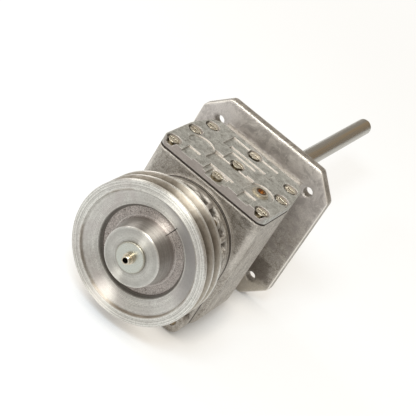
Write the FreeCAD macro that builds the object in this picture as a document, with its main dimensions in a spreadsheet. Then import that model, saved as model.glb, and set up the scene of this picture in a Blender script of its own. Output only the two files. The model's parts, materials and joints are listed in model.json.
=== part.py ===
import FreeCAD, Part
import math
import os
import Sketcher

# Ice cream maker gearbox: a belt pulley drives a plain output shaft through a coaxial two-stage gear train.
# Y is the shaft axis (pulley towards -Y), Z is up, and the flange's mounting face lies at y = 0.

DIMENSIONS = [
    # Mounting flange
    ("flange_width", 140.0),
    ("flange_top", 73.0),
    ("flange_base", 71.0),
    ("flange_thick", 9.0),
    ("flange_chamfer", 20.0),
    ("flange_corner", 6.0),
    ("flange_edge", 1.5),
    ("bolt_spacing", 100.0),
    ("bolt_hole", 9.0),
    ("bolt_spotface", 17.0),
    # Housing casting
    ("body_width", 110.0),
    ("body_top", 50.0),
    ("body_base", 70.0),
    ("body_front", 112.0),
    ("wall", 6.0),
    ("front_wall", 8.0),
    ("front_pad", 3.0),
    ("front_corner", 8.0),
    ("taper_corner", 10.0),
    ("base_corner", 20.0),
    ("taper_step", 5.0),
    ("taper_start", 60.0),
    ("taper_end", 32.0),
    ("taper_round", 20.0),
    ("neck_width", 80.0),
    ("neck_start", 18.0),
    ("neck_base", 58.0),
    ("neck_round", 3.0),
    ("neck_flare", 5.0),
    ("rear_face", 30.0),
    ("chamber_slope", 2.0),
    ("window_edge", 17.0),
    ("window_bridge", 12.0),
    ("window_rim", 5.8),
    # Top cover
    ("cover_thick", 6.7),
    ("cover_rear", 24.0),
    ("cover_lap", 3.0),
    ("cover_corner", 6.0),
    ("cover_rear_corner", 3.0),
    ("cover_gasket", 0.8),
    ("gasket_inset", 0.7),
    ("cover_slope", 3.0),
    ("side_inner", 23.5),
    ("side_outer", 35.5),
    ("side_end", 8.7),
    ("side_depth", 1.5),
    ("notch_half", 8.4),
    ("notch_end", 7.2),
    ("step_half", 12.4),
    ("step_end", 7.8),
    ("step_depth", 1.5),
    ("channel_half", 20.5),
    ("channel_start", 25.4),
    ("channel_end", 5.4),
    ("channel_depth", 2.4),
    ("middle_half", 12.7),
    ("middle_end", 10.6),
    ("middle_depth", 1.4),
    ("rear_half", 24.5),
    ("rear_start", 28.0),
    ("rear_end", 7.0),
    ("rear_depth", 1.3),
    ("bar_half", 18.6),
    ("bar_end", 20.0),
    ("bar_depth", 2.8),
    ("screw_edge", 8.2),
    ("screw_edge_rear", 7.0),
    ("screw_front", 8.0),
    ("screw_middle", 4.6),
    ("screw_rear", 16.3),
    ("screw_rear_middle", 9.0),
    ("screw_radius", 2.5),
    ("screw_head_radius", 5.0),
    ("screw_head_height", 3.2),
    ("screw_head_sink", 0.3),
    ("screw_recess_radius", 7.0),
    ("screw_slot", 1.4),
    ("screw_slot_depth", 1.3),
    ("screw_grip", 5.5),
    ("thread_gap", 0.05),
    ("hole_gap", 0.25),
    ("plug_side", 32.0),
    ("plug_back", 78.0),
    ("plug_pad_radius", 12.0),
    ("plug_pad_depth", 1.2),
    ("plug_radius", 5.0),
    ("plug_reach", 3.0),
    ("plug_head_radius", 6.2),
    ("plug_head_height", 1.8),
    ("plug_socket_radius", 3.2),
    ("plug_socket_depth", 3.5),
    ("plug_washer_radius", 7.4),
    ("plug_washer_thick", 0.6),
    # Front end cover
    ("end_inset", 4.8),
    ("end_drop", 4.7),
    ("end_lift", 0.5),
    ("end_thick", 16.0),
    ("end_corner", 10.0),
    ("end_pocket", 9.0),
    ("end_gasket", 0.5),
    ("opening_inset", 12.0),
    ("hub_wall", 10.0),
    ("nose_wall", 6.0),
    ("nose_length", 12.5),
    ("bush_wall", 6.0),
    ("rib_thick", 4.0),
    ("end_screw_inset", 6.0),
    ("end_screw_lift", 1.0),
    ("end_boss_radius", 6.0),
    ("end_boss_drop", 5.0),
    ("end_head_radius", 4.25),
    ("end_head_height", 5.0),
    ("end_head_gap", 0.4),
    ("end_socket_radius", 2.3),
    ("end_socket_depth", 2.5),
    ("dowel_radius", 2.5),
    ("dowel_below", 32.0),
    ("dowel_half", 6.0),
    ("dowel_short", 0.2),
    # Bearings, seals and bushes
    ("bearing_outer", 20.0),
    ("bearing_width", 12.0),
    ("bearing_land", 2.2),
    ("front_bearing_set", 1.5),
    ("rear_bearing_set", 4.0),
    ("ball_radius", 3.3),
    ("ball_gap", 0.3),
    ("race_gap", 0.1),
    ("seat_gap", 0.02),
    ("run_gap", 0.05),
    ("end_play", 0.5),
    ("shaft_way", 4.0),
    ("seal_radius", 17.5),
    ("seal_width", 7.0),
    ("seal_wall", 2.0),
    ("seal_lip", 1.2),
    ("seal_lip_back", 1.0),
    ("seal_sink", 0.5),
    ("bush_radius", 9.0),
    ("journal_radius", 6.0),
    ("bush_length", 12.0),
    ("bush_short", 0.1),
    ("circlip_thick", 1.75),
    ("circlip_depth", 1.0),
    ("circlip_band", 3.0),
    ("circlip_play", 0.05),
    # Gear train
    ("gear_module", 1.5),
    ("pinion_teeth", 15.0),
    ("wheel_teeth", 33.0),
    ("tooth_shift", 0.3),
    ("tooth_root", 1.25),
    ("tooth_gap", 0.15),
    ("input_face", 16.0),
    ("output_face", 20.0),
    ("pinion_margin", 3.0),
    ("input_gear_set", 28.0),
    ("output_gear_set", 16.0),
    ("web_depth", 4.0),
    ("web_rim", 3.0),
    ("web_hub", 4.0),
    ("core_step", 0.5),
    # Shafts
    ("shaft_radius", 8.5),
    ("shaft_reach", 292.0),
    ("shaft_chamfer", 1.0),
    ("undercut_start", 0.5),
    ("undercut_width", 1.5),
    ("undercut_depth", 0.4),
    ("output_seat", 11.0),
    ("output_overhang", 16.0),
    ("shoulder_step", 1.8),
    ("shoulder_length", 4.0),
    ("shoulder_gap", 2.0),
    ("input_shoulder", 2.5),
    ("input_gap", 5.0),
    ("counter_seat", 9.0),
    ("counter_shoulder", 6.0),
    ("spigot_radius", 5.0),
    ("pilot_radius", 7.0),
    ("pilot_length", 14.0),
    ("key_width", 5.0),
    ("key_height", 5.0),
    ("key_sink", 3.0),
    ("key_margin", 2.0),
    # Belt pulley
    ("pulley_radius", 60.0),
    ("pulley_gap", 9.0),
    ("groove_edge", 8.0),
    ("groove_pitch", 12.0),
    ("groove_width", 9.8),
    ("groove_floor", 2.6),
    ("groove_depth", 10.5),
    ("rim_step_radius", 52.0),
    ("rim_step", 2.0),
    ("rim_bevel", 1.2),
    ("dish_radius", 39.0),
    ("dish_depth", 6.2),
    ("recess_radius", 36.2),
    ("recess_depth", 10.5),
    ("rim_inner", 43.0),
    ("rim_draft", 1.0),
    ("web_thick", 7.0),
    ("web_fillet", 1.5),
    ("hub_radius", 24.8),
    ("hub_base_radius", 27.6),
    ("hub_proud", 8.5),
    ("hub_rear_radius", 22.0),
    ("hub_rear", 1.0),
    ("pulley_edge", 0.8),
    ("spacer_radius", 12.0),
    ("spacer_way", 1.0),
    ("hub_washer_radius", 13.0),
    ("hub_washer_thick", 2.0),
    ("hub_washer_bevel", 0.6),
    ("stud_radius", 3.6),
    ("stud_bore", 2.4),
    ("stud_collar_radius", 4.7),
    ("stud_collar", 2.6),
    ("stud_length", 6.6),
    ("stud_chamfer", 0.4),
    ("stud_thread", 4.0),
    ("stud_depth", 18.0),
    ("stud_spare", 2.0),
    ("shaft_short", 1.0),
]

PRESSURE_ANGLE = math.radians(20.0)
BALL_COUNT = 8
END_SCREW_ANGLES = (0.0, 33.0, -33.0, 66.0, -66.0)
END_RIB_ANGLES = (18.0, -18.0, 54.0, -54.0, 92.0, -92.0)
OVERCUT = 1.0
KEYWAY_RUN = 40.0
ARCH_FLAT = 0.5
TOLERANCE = 1e-3
FLANK_SHARES = (0.0, 0.3, 0.65, 1.0)

doc = FreeCAD.newDocument("gearbox")
sheet = doc.addObject("Spreadsheet::Sheet", "dims")
nodes = []


class Size:
    """A number together with the sheet formula that gives it."""

    def __init__(self, value, formula):
        self.value = value
        self.formula = formula

    def __add__(self, other):
        other = as_size(other)
        return Size(self.value + other.value, "(%s + %s)" % (self.formula, other.formula))

    def __sub__(self, other):
        other = as_size(other)
        return Size(self.value - other.value, "(%s - %s)" % (self.formula, other.formula))

    def __mul__(self, factor):
        factor = as_size(factor)
        return Size(self.value * factor.value, "(%s * %s)" % (self.formula, factor.formula))

    def __truediv__(self, divisor):
        divisor = as_size(divisor)
        return Size(self.value / divisor.value, "(%s / %s)" % (self.formula, divisor.formula))

    def __neg__(self):
        return Size(-self.value, "(0 - %s)" % self.formula)


def as_size(item):
    """A plain number becomes a Size with a constant formula."""
    if isinstance(item, Size):
        return item
    return Size(float(item), "(%.9f)" % item)


def fill_sheet():
    """Writes each driving dimension to its own cell and returns the Sizes by name."""
    sizes = {}
    for row, (alias, value) in enumerate(DIMENSIONS, start=1):
        sheet.set("A%d" % row, alias)
        sheet.set("B%d" % row, str(value))
        sheet.setAlias("B%d" % row, alias)
        sizes[alias] = Size(value, "dims." + alias)
    doc.recompute()
    return sizes


def least(first, second):
    """The smaller of two Sizes."""
    return Size(min(first.value, second.value), "min(%s; %s)" % (first.formula, second.formula))


dim = fill_sheet()
ZERO = as_size(0)


# Sketches and solids

def hold_point(sketch, geometry, position, x, y):
    """Fixes a sketch point at two Sizes."""
    for kind, axis, size in (("DistanceX", -2, x), ("DistanceY", -1, y)):
        if abs(size.value) < 1e-9:
            sketch.addConstraint(Sketcher.Constraint("PointOnObject", geometry, position, axis))
            continue
        index = sketch.addConstraint(Sketcher.Constraint(kind, -1, 1, geometry, position, size.value))
        sketch.setExpression("Constraints[%d]" % index, size.formula)


def corner_arc(before, here, after, radius):
    """Tangent points and arc of one rounded corner, and whether the arc runs with the outline."""
    back = (before - here).normalize()
    ahead = (after - here).normalize()
    half = back.getAngle(ahead) / 2
    reach = radius / math.tan(half)
    entry = here + back * reach
    leave = here + ahead * reach
    centre = here + (back + ahead).normalize() * (radius / math.sin(half))
    forward = back.y * ahead.x - back.x * ahead.y > 0
    first, last = (entry, leave) if forward else (leave, entry)
    angles = [math.atan2(point.y - centre.y, point.x - centre.x) for point in (first, last)]
    if angles[1] < angles[0]:
        angles[1] += 2 * math.pi
    circle = Part.Circle(centre, FreeCAD.Vector(0, 0, 1), radius)
    return entry, leave, Part.ArcOfCircle(circle, angles[0], angles[1]), forward


def draw_outline(sketch, corners):
    """Closed outline through corners (x, y, rounding); a rounding of None leaves the corner sharp."""
    points = [FreeCAD.Vector(x.value, y.value, 0) for x, y, rounding in corners]
    count = len(points)
    bends = []
    for i, (x, y, rounding) in enumerate(corners):
        if rounding is None:
            bends.append((points[i], points[i], None, True))
        else:
            bends.append(corner_arc(points[i - 1], points[i], points[(i + 1) % count], rounding.value))
    lines = []
    for i in range(count):
        line = Part.LineSegment(bends[i][1], bends[(i + 1) % count][0])
        lines.append(sketch.addGeometry(line, False))
    for i, (x, y, rounding) in enumerate(corners):
        arriving = lines[i - 1]
        leaving = lines[i]
        if rounding is None:
            sketch.addConstraint(Sketcher.Constraint("Coincident", arriving, 2, leaving, 1))
            hold_point(sketch, leaving, 1, x, y)
            continue
        apex = sketch.addGeometry(Part.Point(points[i]), True)
        hold_point(sketch, apex, 1, x, y)
        sketch.addConstraint(Sketcher.Constraint("PointOnObject", apex, 1, arriving))
        sketch.addConstraint(Sketcher.Constraint("PointOnObject", apex, 1, leaving))
        arc = sketch.addGeometry(bends[i][2], False)
        near, far = (1, 2) if bends[i][3] else (2, 1)
        sketch.addConstraint(Sketcher.Constraint("Tangent", arriving, 2, arc, near))
        sketch.addConstraint(Sketcher.Constraint("Tangent", leaving, 1, arc, far))
        index = sketch.addConstraint(Sketcher.Constraint("Radius", arc, rounding.value))
        sketch.setExpression("Constraints[%d]" % index, rounding.formula)


PLANES = {
    "front": (FreeCAD.Rotation(FreeCAD.Vector(1, 0, 0), 90), FreeCAD.Vector(0, 1, 0), "y"),
    "plan": (FreeCAD.Rotation(), FreeCAD.Vector(0, 0, 1), "z"),
    "side": (FreeCAD.Rotation(FreeCAD.Vector(1, 1, 1), 120), FreeCAD.Vector(1, 0, 0), "x"),
}


def prism(name, plane, corners, low, high):
    """Outline drawn in a view plane and extruded between two Sizes across that plane."""
    rotation, direction, axis = PLANES[plane]
    sketch = doc.addObject("Sketcher::SketchObject", name + "_outline")
    sketch.Placement = FreeCAD.Placement(FreeCAD.Vector(), rotation)
    sketch.setExpression("Placement.Base." + axis, as_size(low).formula)
    draw_outline(sketch, corners)
    solid = doc.addObject("Part::Extrusion", name)
    solid.Base = sketch
    solid.DirMode = "Custom"
    solid.Dir = direction
    solid.Solid = True
    solid.setExpression("LengthFwd", (as_size(high) - low).formula)
    return solid


def turned(name, corners):
    """Body turned about its own Y axis from corners (radius, y, rounding)."""
    body = doc.addObject("PartDesign::Body", name)
    sketch = body.newObject("Sketcher::SketchObject", name + "_profile")
    plane = [item for item in body.Origin.OriginFeatures if item.Role == "XY_Plane"][0]
    sketch.AttachmentSupport = (plane, [""])
    sketch.MapMode = "FlatFace"
    draw_outline(sketch, corners)
    turn = body.newObject("PartDesign::Revolution", name + "_turn")
    turn.Profile = sketch
    turn.ReferenceAxis = (sketch, ["V_Axis"])
    turn.Angle = 360
    return body


def place(item, x, y, z):
    """Binds an object's position to three Sizes."""
    for axis, size in (("x", x), ("y", y), ("z", z)):
        item.setExpression("Placement.Base." + axis, as_size(size).formula)
    return item


def block(name, x, y, z):
    """Box between two Sizes along each axis."""
    box = doc.addObject("Part::Box", name)
    for side, (low, high) in (("Length", x), ("Width", y), ("Height", z)):
        box.setExpression(side, (as_size(high) - low).formula)
    return place(box, x[0], y[0], z[0])


def rod(name, radius, y, x=ZERO, z=ZERO):
    """Cylinder along Y between two Sizes."""
    tool = doc.addObject("Part::Cylinder", name)
    tool.Placement = FreeCAD.Placement(FreeCAD.Vector(), FreeCAD.Rotation(FreeCAD.Vector(1, 0, 0), -90))
    tool.setExpression("Radius", radius.formula)
    tool.setExpression("Height", (as_size(y[1]) - y[0]).formula)
    return place(tool, x, y[0], z)


def post(name, radius, x, y, z):
    """Cylinder along Z between two Sizes."""
    tool = doc.addObject("Part::Cylinder", name)
    tool.setExpression("Radius", radius.formula)
    tool.setExpression("Height", (as_size(z[1]) - z[0]).formula)
    return place(tool, x, y, z[0])


def hexagon(name, radius, low, high, x, y, z, along_z):
    """Six-sided socket tool with a corner radius, along Z or along Y."""
    tool = doc.addObject("Part::Prism", name)
    tool.Polygon = 6
    if not along_z:
        tool.Placement = FreeCAD.Placement(FreeCAD.Vector(), FreeCAD.Rotation(FreeCAD.Vector(1, 0, 0), -90))
    tool.setExpression("Circumradius", radius.formula)
    tool.setExpression("Height", (as_size(high) - low).formula)
    return place(tool, x, y, low) if along_z else place(tool, x, low, z)


def fuse(name, parts):
    """Union of solids."""
    joined = doc.addObject("Part::MultiFuse", name)
    joined.Shapes = parts
    return joined


def common(name, parts):
    """Intersection of solids."""
    shared = doc.addObject("Part::MultiCommon", name)
    shared.Shapes = parts
    return shared


def cut(name, base, tools):
    """Base with one or more tools taken out of it."""
    result = doc.addObject("Part::Cut", name)
    result.Base = base
    result.Tool = tools[0] if len(tools) == 1 else fuse(name + "_tools", tools)
    return result


def group(name, parts):
    """Separate solids kept together in one node."""
    bundle = doc.addObject("Part::Compound", name)
    bundle.Links = parts
    return bundle


def rounded(name, base, radius, chosen):
    """Fillet on the edges of a solid that a test picks out."""
    doc.recompute()
    fillet = doc.addObject("Part::Fillet", name)
    fillet.Base = base
    picked = [i for i, edge in enumerate(base.Shape.Edges, start=1) if chosen(edge)]
    fillet.Edges = [(i, radius.value, radius.value) for i in picked]
    return fillet


def tube(name, inner, outer, y, z=ZERO):
    """Plain ring along Y."""
    return cut(name, rod(name + "_outer", outer, y, z=z), [rod(name + "_inner", inner, y, z=z)])


def node(item, label):
    """Registers a finished sub-part under its own label."""
    item.Label = label
    nodes.append(item)
    return item


def mirrored(corners):
    """Right half of an outline, from bottom to top, completed by its mirror image in x."""
    return corners + [(-x, y, rounding) for x, y, rounding in reversed(corners)]


# Shared places

body_half = dim["body_width"] / 2
taper_half = body_half - dim["taper_step"]
neck_half = dim["neck_width"] / 2
flange_half = dim["flange_width"] / 2
end_half = body_half - dim["end_inset"]
end_crown = dim["body_top"] - dim["end_drop"]
end_centre = end_crown - end_half
dowel_side = end_half - dim["end_screw_inset"]
opening_half = end_half - dim["opening_inset"]
front_y = -dim["body_front"]
box_front = front_y + dim["front_pad"]
flange_y = -dim["flange_thick"]
rear_y = -dim["rear_face"]
screw_row_front = box_front + dim["screw_front"]
screw_row_middle = -dim["taper_start"] - dim["screw_middle"]
screw_row_rear = -dim["cover_rear"] - dim["screw_rear"]
screw_rear_middle = -dim["cover_rear"] - dim["screw_rear_middle"]
cover_low = dim["body_top"] + dim["cover_gasket"]
cover_high = cover_low + dim["cover_thick"]
cover_seat = cover_high - dim["screw_head_sink"] - dim["screw_head_height"]
plug_pad = cover_high - dim["plug_pad_depth"]
end_back = front_y - dim["end_gasket"]
end_front = end_back - dim["end_thick"]
pocket_floor = end_front + dim["end_pocket"]
end_boss = end_front + dim["end_boss_drop"]
nose_front = end_front - dim["nose_length"]
input_bearing = (
    end_back - dim["front_bearing_set"] - dim["bearing_width"],
    end_back - dim["front_bearing_set"],
)
output_bearing = (
    rear_y + dim["rear_bearing_set"],
    rear_y + dim["rear_bearing_set"] + dim["bearing_width"],
)
axis_gap = dim["gear_module"] * (dim["pinion_teeth"] + dim["wheel_teeth"]) / 2
counter_z = -axis_gap
pinion_root = dim["gear_module"] * (dim["pinion_teeth"] / 2 - dim["tooth_root"] + dim["tooth_shift"])
wheel_root = dim["gear_module"] * (dim["wheel_teeth"] / 2 - dim["tooth_root"] - dim["tooth_shift"])
pinion_core = pinion_root - dim["core_step"]
pulley_rear = nose_front - dim["pulley_gap"]
pulley_face = pulley_rear - dim["groove_edge"] * 2 - dim["groove_pitch"]
hub_face = pulley_face - dim["hub_proud"]
hub_back = pulley_rear + dim["hub_rear"]
shaft_tip = hub_face + dim["shaft_short"]
ball_circle = (dim["shaft_radius"] + dim["bearing_outer"]) / 2
input_gear_y = front_y + dim["input_gear_set"]
output_gear_y = rear_y - dim["output_gear_set"]
output_front = output_gear_y - dim["output_overhang"]


def gear_span(centre, face):
    """Front and rear face of a gear centred on a place along the axis."""
    return (centre - face / 2, centre + face / 2)


input_span = gear_span(input_gear_y, dim["input_face"])
output_span = gear_span(output_gear_y, dim["output_face"])


# Housing

def arch(half, crown, base, corner):
    """Outline with a round top and straight sides, seen from the front."""
    return mirrored([(half, base, corner), (half, crown, half - ARCH_FLAT)])


def end_arch(inset):
    """The end cover's outline, drawn in by an inset."""
    base = inset - dim["body_base"] + dim["end_lift"]
    return arch(end_half - inset, end_crown - inset, base, dim["end_corner"] - inset)


def opening_arch():
    """Opening that the gear train goes in by, behind the end cover."""
    inset = dim["opening_inset"]
    return arch(opening_half, end_crown - inset, inset - dim["body_base"], dim["end_corner"])


def on_plane(edge, y):
    """True where an edge lies in a plane across the shaft axis."""
    box = edge.BoundBox
    return abs(box.YMin - y) < TOLERANCE and abs(box.YMax - y) < TOLERANCE


def housing_shell():
    """Box, tapered neck and flange before any machining."""
    chamfer = flange_half - dim["flange_chamfer"]
    corner = dim["flange_corner"]
    octagon = mirrored([
        (chamfer, -dim["flange_base"], corner),
        (flange_half, dim["flange_chamfer"] - dim["flange_base"], corner),
        (flange_half, dim["flange_top"] - dim["flange_chamfer"], corner),
        (chamfer, dim["flange_top"], corner),
    ])
    plate = prism("flange_plate", "front", octagon, flange_y, ZERO)
    flange = rounded("flange", plate, dim["flange_edge"], lambda edge: on_plane(edge, flange_y.value))
    inside = flange_y / 2
    plan = prism("box_plan", "plan", mirrored([
        (body_half, box_front, dim["front_corner"]),
        (body_half, -dim["taper_start"], dim["taper_round"]),
        (taper_half, -dim["taper_end"], dim["taper_corner"]),
        (neck_half, -dim["neck_start"], dim["neck_round"]),
        (neck_half, inside, None),
    ]), -dim["body_base"] - OVERCUT, dim["body_top"] + OVERCUT)
    face = prism("box_face", "front", mirrored([
        (body_half, -dim["body_base"], dim["base_corner"]),
        (body_half, dim["body_top"], None),
    ]), box_front - OVERCUT, ZERO)
    side = prism("box_side", "side", [
        (box_front, -dim["body_base"], None),
        (-dim["taper_start"], -dim["body_base"], dim["taper_round"]),
        (-dim["taper_end"], -dim["neck_base"], dim["taper_round"]),
        (inside, -dim["neck_base"], None),
        (inside, dim["body_top"], None),
        (box_front, dim["body_top"], None),
    ], -body_half - OVERCUT, body_half + OVERCUT)
    pad = prism("front_pad", "front", end_arch(ZERO), front_y, box_front + dim["front_corner"])
    solid = fuse("casting", [flange, common("box", [plan, face, side]), pad])

    def at_neck(edge):
        box = edge.BoundBox
        inner = max(abs(box.XMin), abs(box.XMax)) < neck_half.value + TOLERANCE
        return on_plane(edge, flange_y.value) and inner and box.ZMax < dim["body_top"].value + TOLERANCE

    flare = least(dim["neck_flare"], dim["neck_start"] - dim["flange_thick"] - dim["neck_round"])
    return rounded("casting_flared", solid, flare, at_neck)


def gear_chamber():
    """Space for the gear train inside the housing, one wall thickness from the outside."""
    wall = dim["wall"]
    slope = dim["chamber_slope"]
    front = front_y + dim["front_wall"]
    floor = wall - dim["body_base"]
    roof = dim["body_top"] - wall
    rise = wall - dim["neck_base"]
    plan = prism("chamber_plan", "plan", mirrored([
        (body_half - wall, front, None),
        (body_half - wall, -dim["taper_start"], None),
        (taper_half - wall, -dim["taper_end"] - slope, None),
        (taper_half - wall, rear_y, None),
    ]), floor, roof)
    face = prism("chamber_face", "front", mirrored([
        (body_half - wall, floor, dim["base_corner"] - wall),
        (body_half - wall, roof, None),
    ]), front, rear_y)
    side = prism("chamber_side", "side", [
        (front, floor, None),
        (-dim["taper_start"] - slope, floor, None),
        (-dim["taper_end"] - slope * 2, rise, None),
        (rear_y, rise, None),
        (rear_y, roof, None),
        (front, roof, None),
    ], wall - body_half, body_half - wall)
    return common("chamber", [plan, face, side])


def window_blocks(name, low, high):
    """The two openings under the top cover, with the bridge for its middle screw between them."""
    half = body_half - dim["window_edge"]
    rim = dim["window_rim"]
    bridge = dim["window_bridge"] / 2
    spans = (
        (screw_row_front + rim, screw_row_middle - bridge),
        (screw_row_middle + bridge, screw_row_rear - rim),
    )
    return [block("%s_%d" % (name, i), (-half, half), span, (low, high)) for i, span in enumerate(spans)]


def cover_screw_places():
    """The nine cover screws, three to a row."""
    side = body_half - dim["screw_edge"]
    rear_side = taper_half - dim["screw_edge_rear"]
    rows = (
        (side, screw_row_front, screw_row_front),
        (side, screw_row_middle, screw_row_middle),
        (rear_side, screw_row_rear, screw_rear_middle),
    )
    places = []
    for reach, y, middle_y in rows:
        places += [(-reach, y), (ZERO, middle_y), (reach, y)]
    return places


def end_foot_places():
    """Screws at the two lower corners of the end cover."""
    low = dim["end_corner"] - dim["body_base"] + dim["end_screw_lift"]
    side = end_half - dim["end_corner"]
    return [(-side, low), (side, low)]


def end_screw_places():
    """Screws round the arch of the end cover and at its feet."""
    circle = end_half - dim["end_screw_inset"]
    places = []
    for angle in END_SCREW_ANGLES:
        turn = math.radians(angle)
        places.append((circle * math.sin(turn), end_centre + circle * math.cos(turn)))
    return places + end_foot_places()


def dowel_places():
    """The two dowels that locate the end cover."""
    return [(-dowel_side, -dim["dowel_below"]), (dowel_side, -dim["dowel_below"])]


def bolt_tools():
    """Holes for the mounting bolts, with room for their heads beside the flare."""
    tools = []
    half = dim["bolt_spacing"] / 2
    for i, (x, z) in enumerate(((-1, -1), (1, -1), (1, 1), (-1, 1))):
        hole = (flange_y - OVERCUT, ZERO + OVERCUT)
        head = (flange_y - dim["neck_flare"] - OVERCUT, flange_y)
        tools.append(rod("bolt_hole_%d" % i, dim["bolt_hole"] / 2, hole, half * x, half * z))
        tools.append(rod("bolt_spotface_%d" % i, dim["bolt_spotface"] / 2, head, half * x, half * z))
    return tools


def make_housing():
    """Cast housing with its flange, machined for the covers, bearings and bolts."""
    top = dim["body_top"]
    thread = dim["screw_radius"] + dim["thread_gap"]
    under_roof = top - dim["wall"] - OVERCUT
    through_front = (front_y - OVERCUT, front_y + dim["front_wall"] + OVERCUT)
    tools = [gear_chamber()] + bolt_tools()
    tools += window_blocks("housing_window", under_roof, top + OVERCUT)
    tools.append(prism("front_opening", "front", opening_arch(), *through_front))
    for i, (x, y) in enumerate(cover_screw_places()):
        tools.append(post("cover_thread_%d" % i, thread, x, y, (under_roof, top + OVERCUT)))
    for i, (x, z) in enumerate(end_screw_places()):
        tools.append(rod("end_thread_%d" % i, thread, through_front, x, z))
    for i, (x, z) in enumerate(dowel_places()):
        tools.append(rod("housing_dowel_%d" % i, dim["dowel_radius"] + dim["seat_gap"],
                         (front_y - OVERCUT, front_y + dim["dowel_half"]), x, z))
    bore = dim["bearing_outer"] + dim["seat_gap"]
    play = dim["circlip_play"]
    groove = (output_bearing[0] - dim["circlip_thick"] - play * 2, output_bearing[0] + play)
    inner = rear_y - OVERCUT
    outer = ZERO + OVERCUT
    tools.append(rod("output_bore", bore, (inner, output_bearing[1])))
    tools.append(rod("output_clip_groove", bore + dim["circlip_depth"], groove))
    tools.append(rod("output_way", dim["shaft_radius"] + dim["shaft_way"], (inner, outer)))
    tools.append(rod("output_seal_bore", dim["seal_radius"] + dim["seat_gap"],
                     (-dim["seal_width"] - dim["seal_sink"], outer)))
    tools.append(rod("counter_rear_bore", dim["bush_radius"] + dim["seat_gap"],
                     (inner, rear_y + dim["bush_length"]), z=counter_z))
    node(cut("housing_machined", housing_shell(), tools), "housing")


# Top cover

def cover_outline(inset):
    """Top cover's outline, drawn in by an inset."""
    return mirrored([
        (body_half - inset, box_front + inset, dim["front_corner"] - inset),
        (body_half - inset, -dim["taper_start"], dim["taper_round"]),
        (taper_half - inset, -dim["taper_end"], dim["cover_corner"]),
        (neck_half + dim["cover_lap"] - inset, -dim["cover_rear"] - inset, dim["cover_rear_corner"]),
    ])


def cover_reliefs(above):
    """Pockets in the cover's top, open at its front edge, and a row of panels along its middle."""
    ahead = box_front - OVERCUT
    channel = (screw_row_middle - dim["channel_start"], screw_row_middle - dim["channel_end"])
    middle = (channel[1], screw_row_middle + dim["middle_end"])
    rear = (-dim["cover_rear"] - dim["rear_start"], -dim["cover_rear"] - dim["rear_end"])
    bar = (rear[0], -dim["cover_rear"] - dim["bar_end"])
    step = (ahead, screw_row_front + dim["step_end"])
    panels = (("step", step), ("channel", channel), ("middle", middle), ("rear", rear), ("bar", bar))
    pockets = []
    for label, span in panels:
        half = dim[label + "_half"]
        pockets.append(block("relief_" + label, (-half, half), span, (cover_high - dim[label + "_depth"], above)))
    notch = dim["notch_half"]
    pockets.append(block("relief_notch", (-notch, notch), (ahead, screw_row_front + dim["notch_end"]),
                         (cover_seat, above)))
    inner, outer = dim["side_inner"], dim["side_outer"]
    span = (ahead, screw_row_front + dim["side_end"])
    deep = (cover_high - dim["side_depth"], above)
    pockets.append(block("relief_left", (-outer, -inner), span, deep))
    pockets.append(block("relief_right", (inner, outer), span, deep))
    for i, x in enumerate((-dim["plug_side"], dim["plug_side"])):
        pockets.append(post("plug_pad_%d" % i, dim["plug_pad_radius"], x, -dim["plug_back"], (plug_pad, above)))
    return pockets


def cover_front_slope(above):
    """Wedge that gives the cover's front face its slope."""
    ahead = box_front - OVERCUT
    top = box_front + dim["cover_slope"]
    return prism("cover_front_slope", "side", [
        (ahead, cover_low, None),
        (box_front, cover_low, None),
        (top, cover_high, None),
        (top, above, None),
        (ahead, above, None),
    ], -body_half - OVERCUT, body_half + OVERCUT)


def make_top_cover():
    """Cover plate with its cast relief, and the gasket under it."""
    plate = prism("cover_plate", "plan", cover_outline(ZERO), cover_low, cover_high)
    above = cover_high + OVERCUT
    hole = dim["screw_radius"] + dim["hole_gap"]
    below = cover_low - OVERCUT
    tools = cover_reliefs(above) + [cover_front_slope(above)]
    for i, (x, y) in enumerate(cover_screw_places()):
        tools.append(post("cover_hole_%d" % i, hole, x, y, (below, above)))
        tools.append(post("cover_recess_%d" % i, dim["screw_recess_radius"], x, y, (cover_seat, above)))
    tools.append(post("plug_hole", dim["plug_radius"] + dim["thread_gap"], dim["plug_side"], -dim["plug_back"],
                      (below, above)))
    node(cut("cover_cut", plate, tools), "top_cover")
    span = (dim["body_top"] - OVERCUT, cover_low + OVERCUT)
    holes = window_blocks("gasket_window", *span)
    for i, (x, y) in enumerate(cover_screw_places()):
        holes.append(post("gasket_hole_%d" % i, hole, x, y, span))
    blank = prism("gasket_plate", "plan", cover_outline(dim["gasket_inset"]), dim["body_top"], cover_low)
    node(cut("gasket_cut", blank, holes), "top_cover_gasket")


def make_cover_screws():
    """Nine slotted cheese-head screws."""
    screws = []
    head_top = cover_seat + dim["screw_head_height"]
    reach = dim["screw_head_radius"] + OVERCUT
    half = dim["screw_slot"] / 2
    for i, (x, y) in enumerate(cover_screw_places()):
        name = "cover_screw_%d" % i
        shank = post(name + "_shank", dim["screw_radius"], x, y,
                     (dim["body_top"] - dim["screw_grip"], cover_seat + OVERCUT))
        head = post(name + "_head", dim["screw_head_radius"], x, y, (cover_seat, head_top))
        slot = block(name + "_slot", (x - reach, x + reach), (y - half, y + half),
                     (head_top - dim["screw_slot_depth"], head_top + OVERCUT))
        screws.append(cut(name, fuse(name + "_blank", [shank, head]), [slot]))
    node(group("cover_screw_set", screws), "cover_screws")


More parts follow.
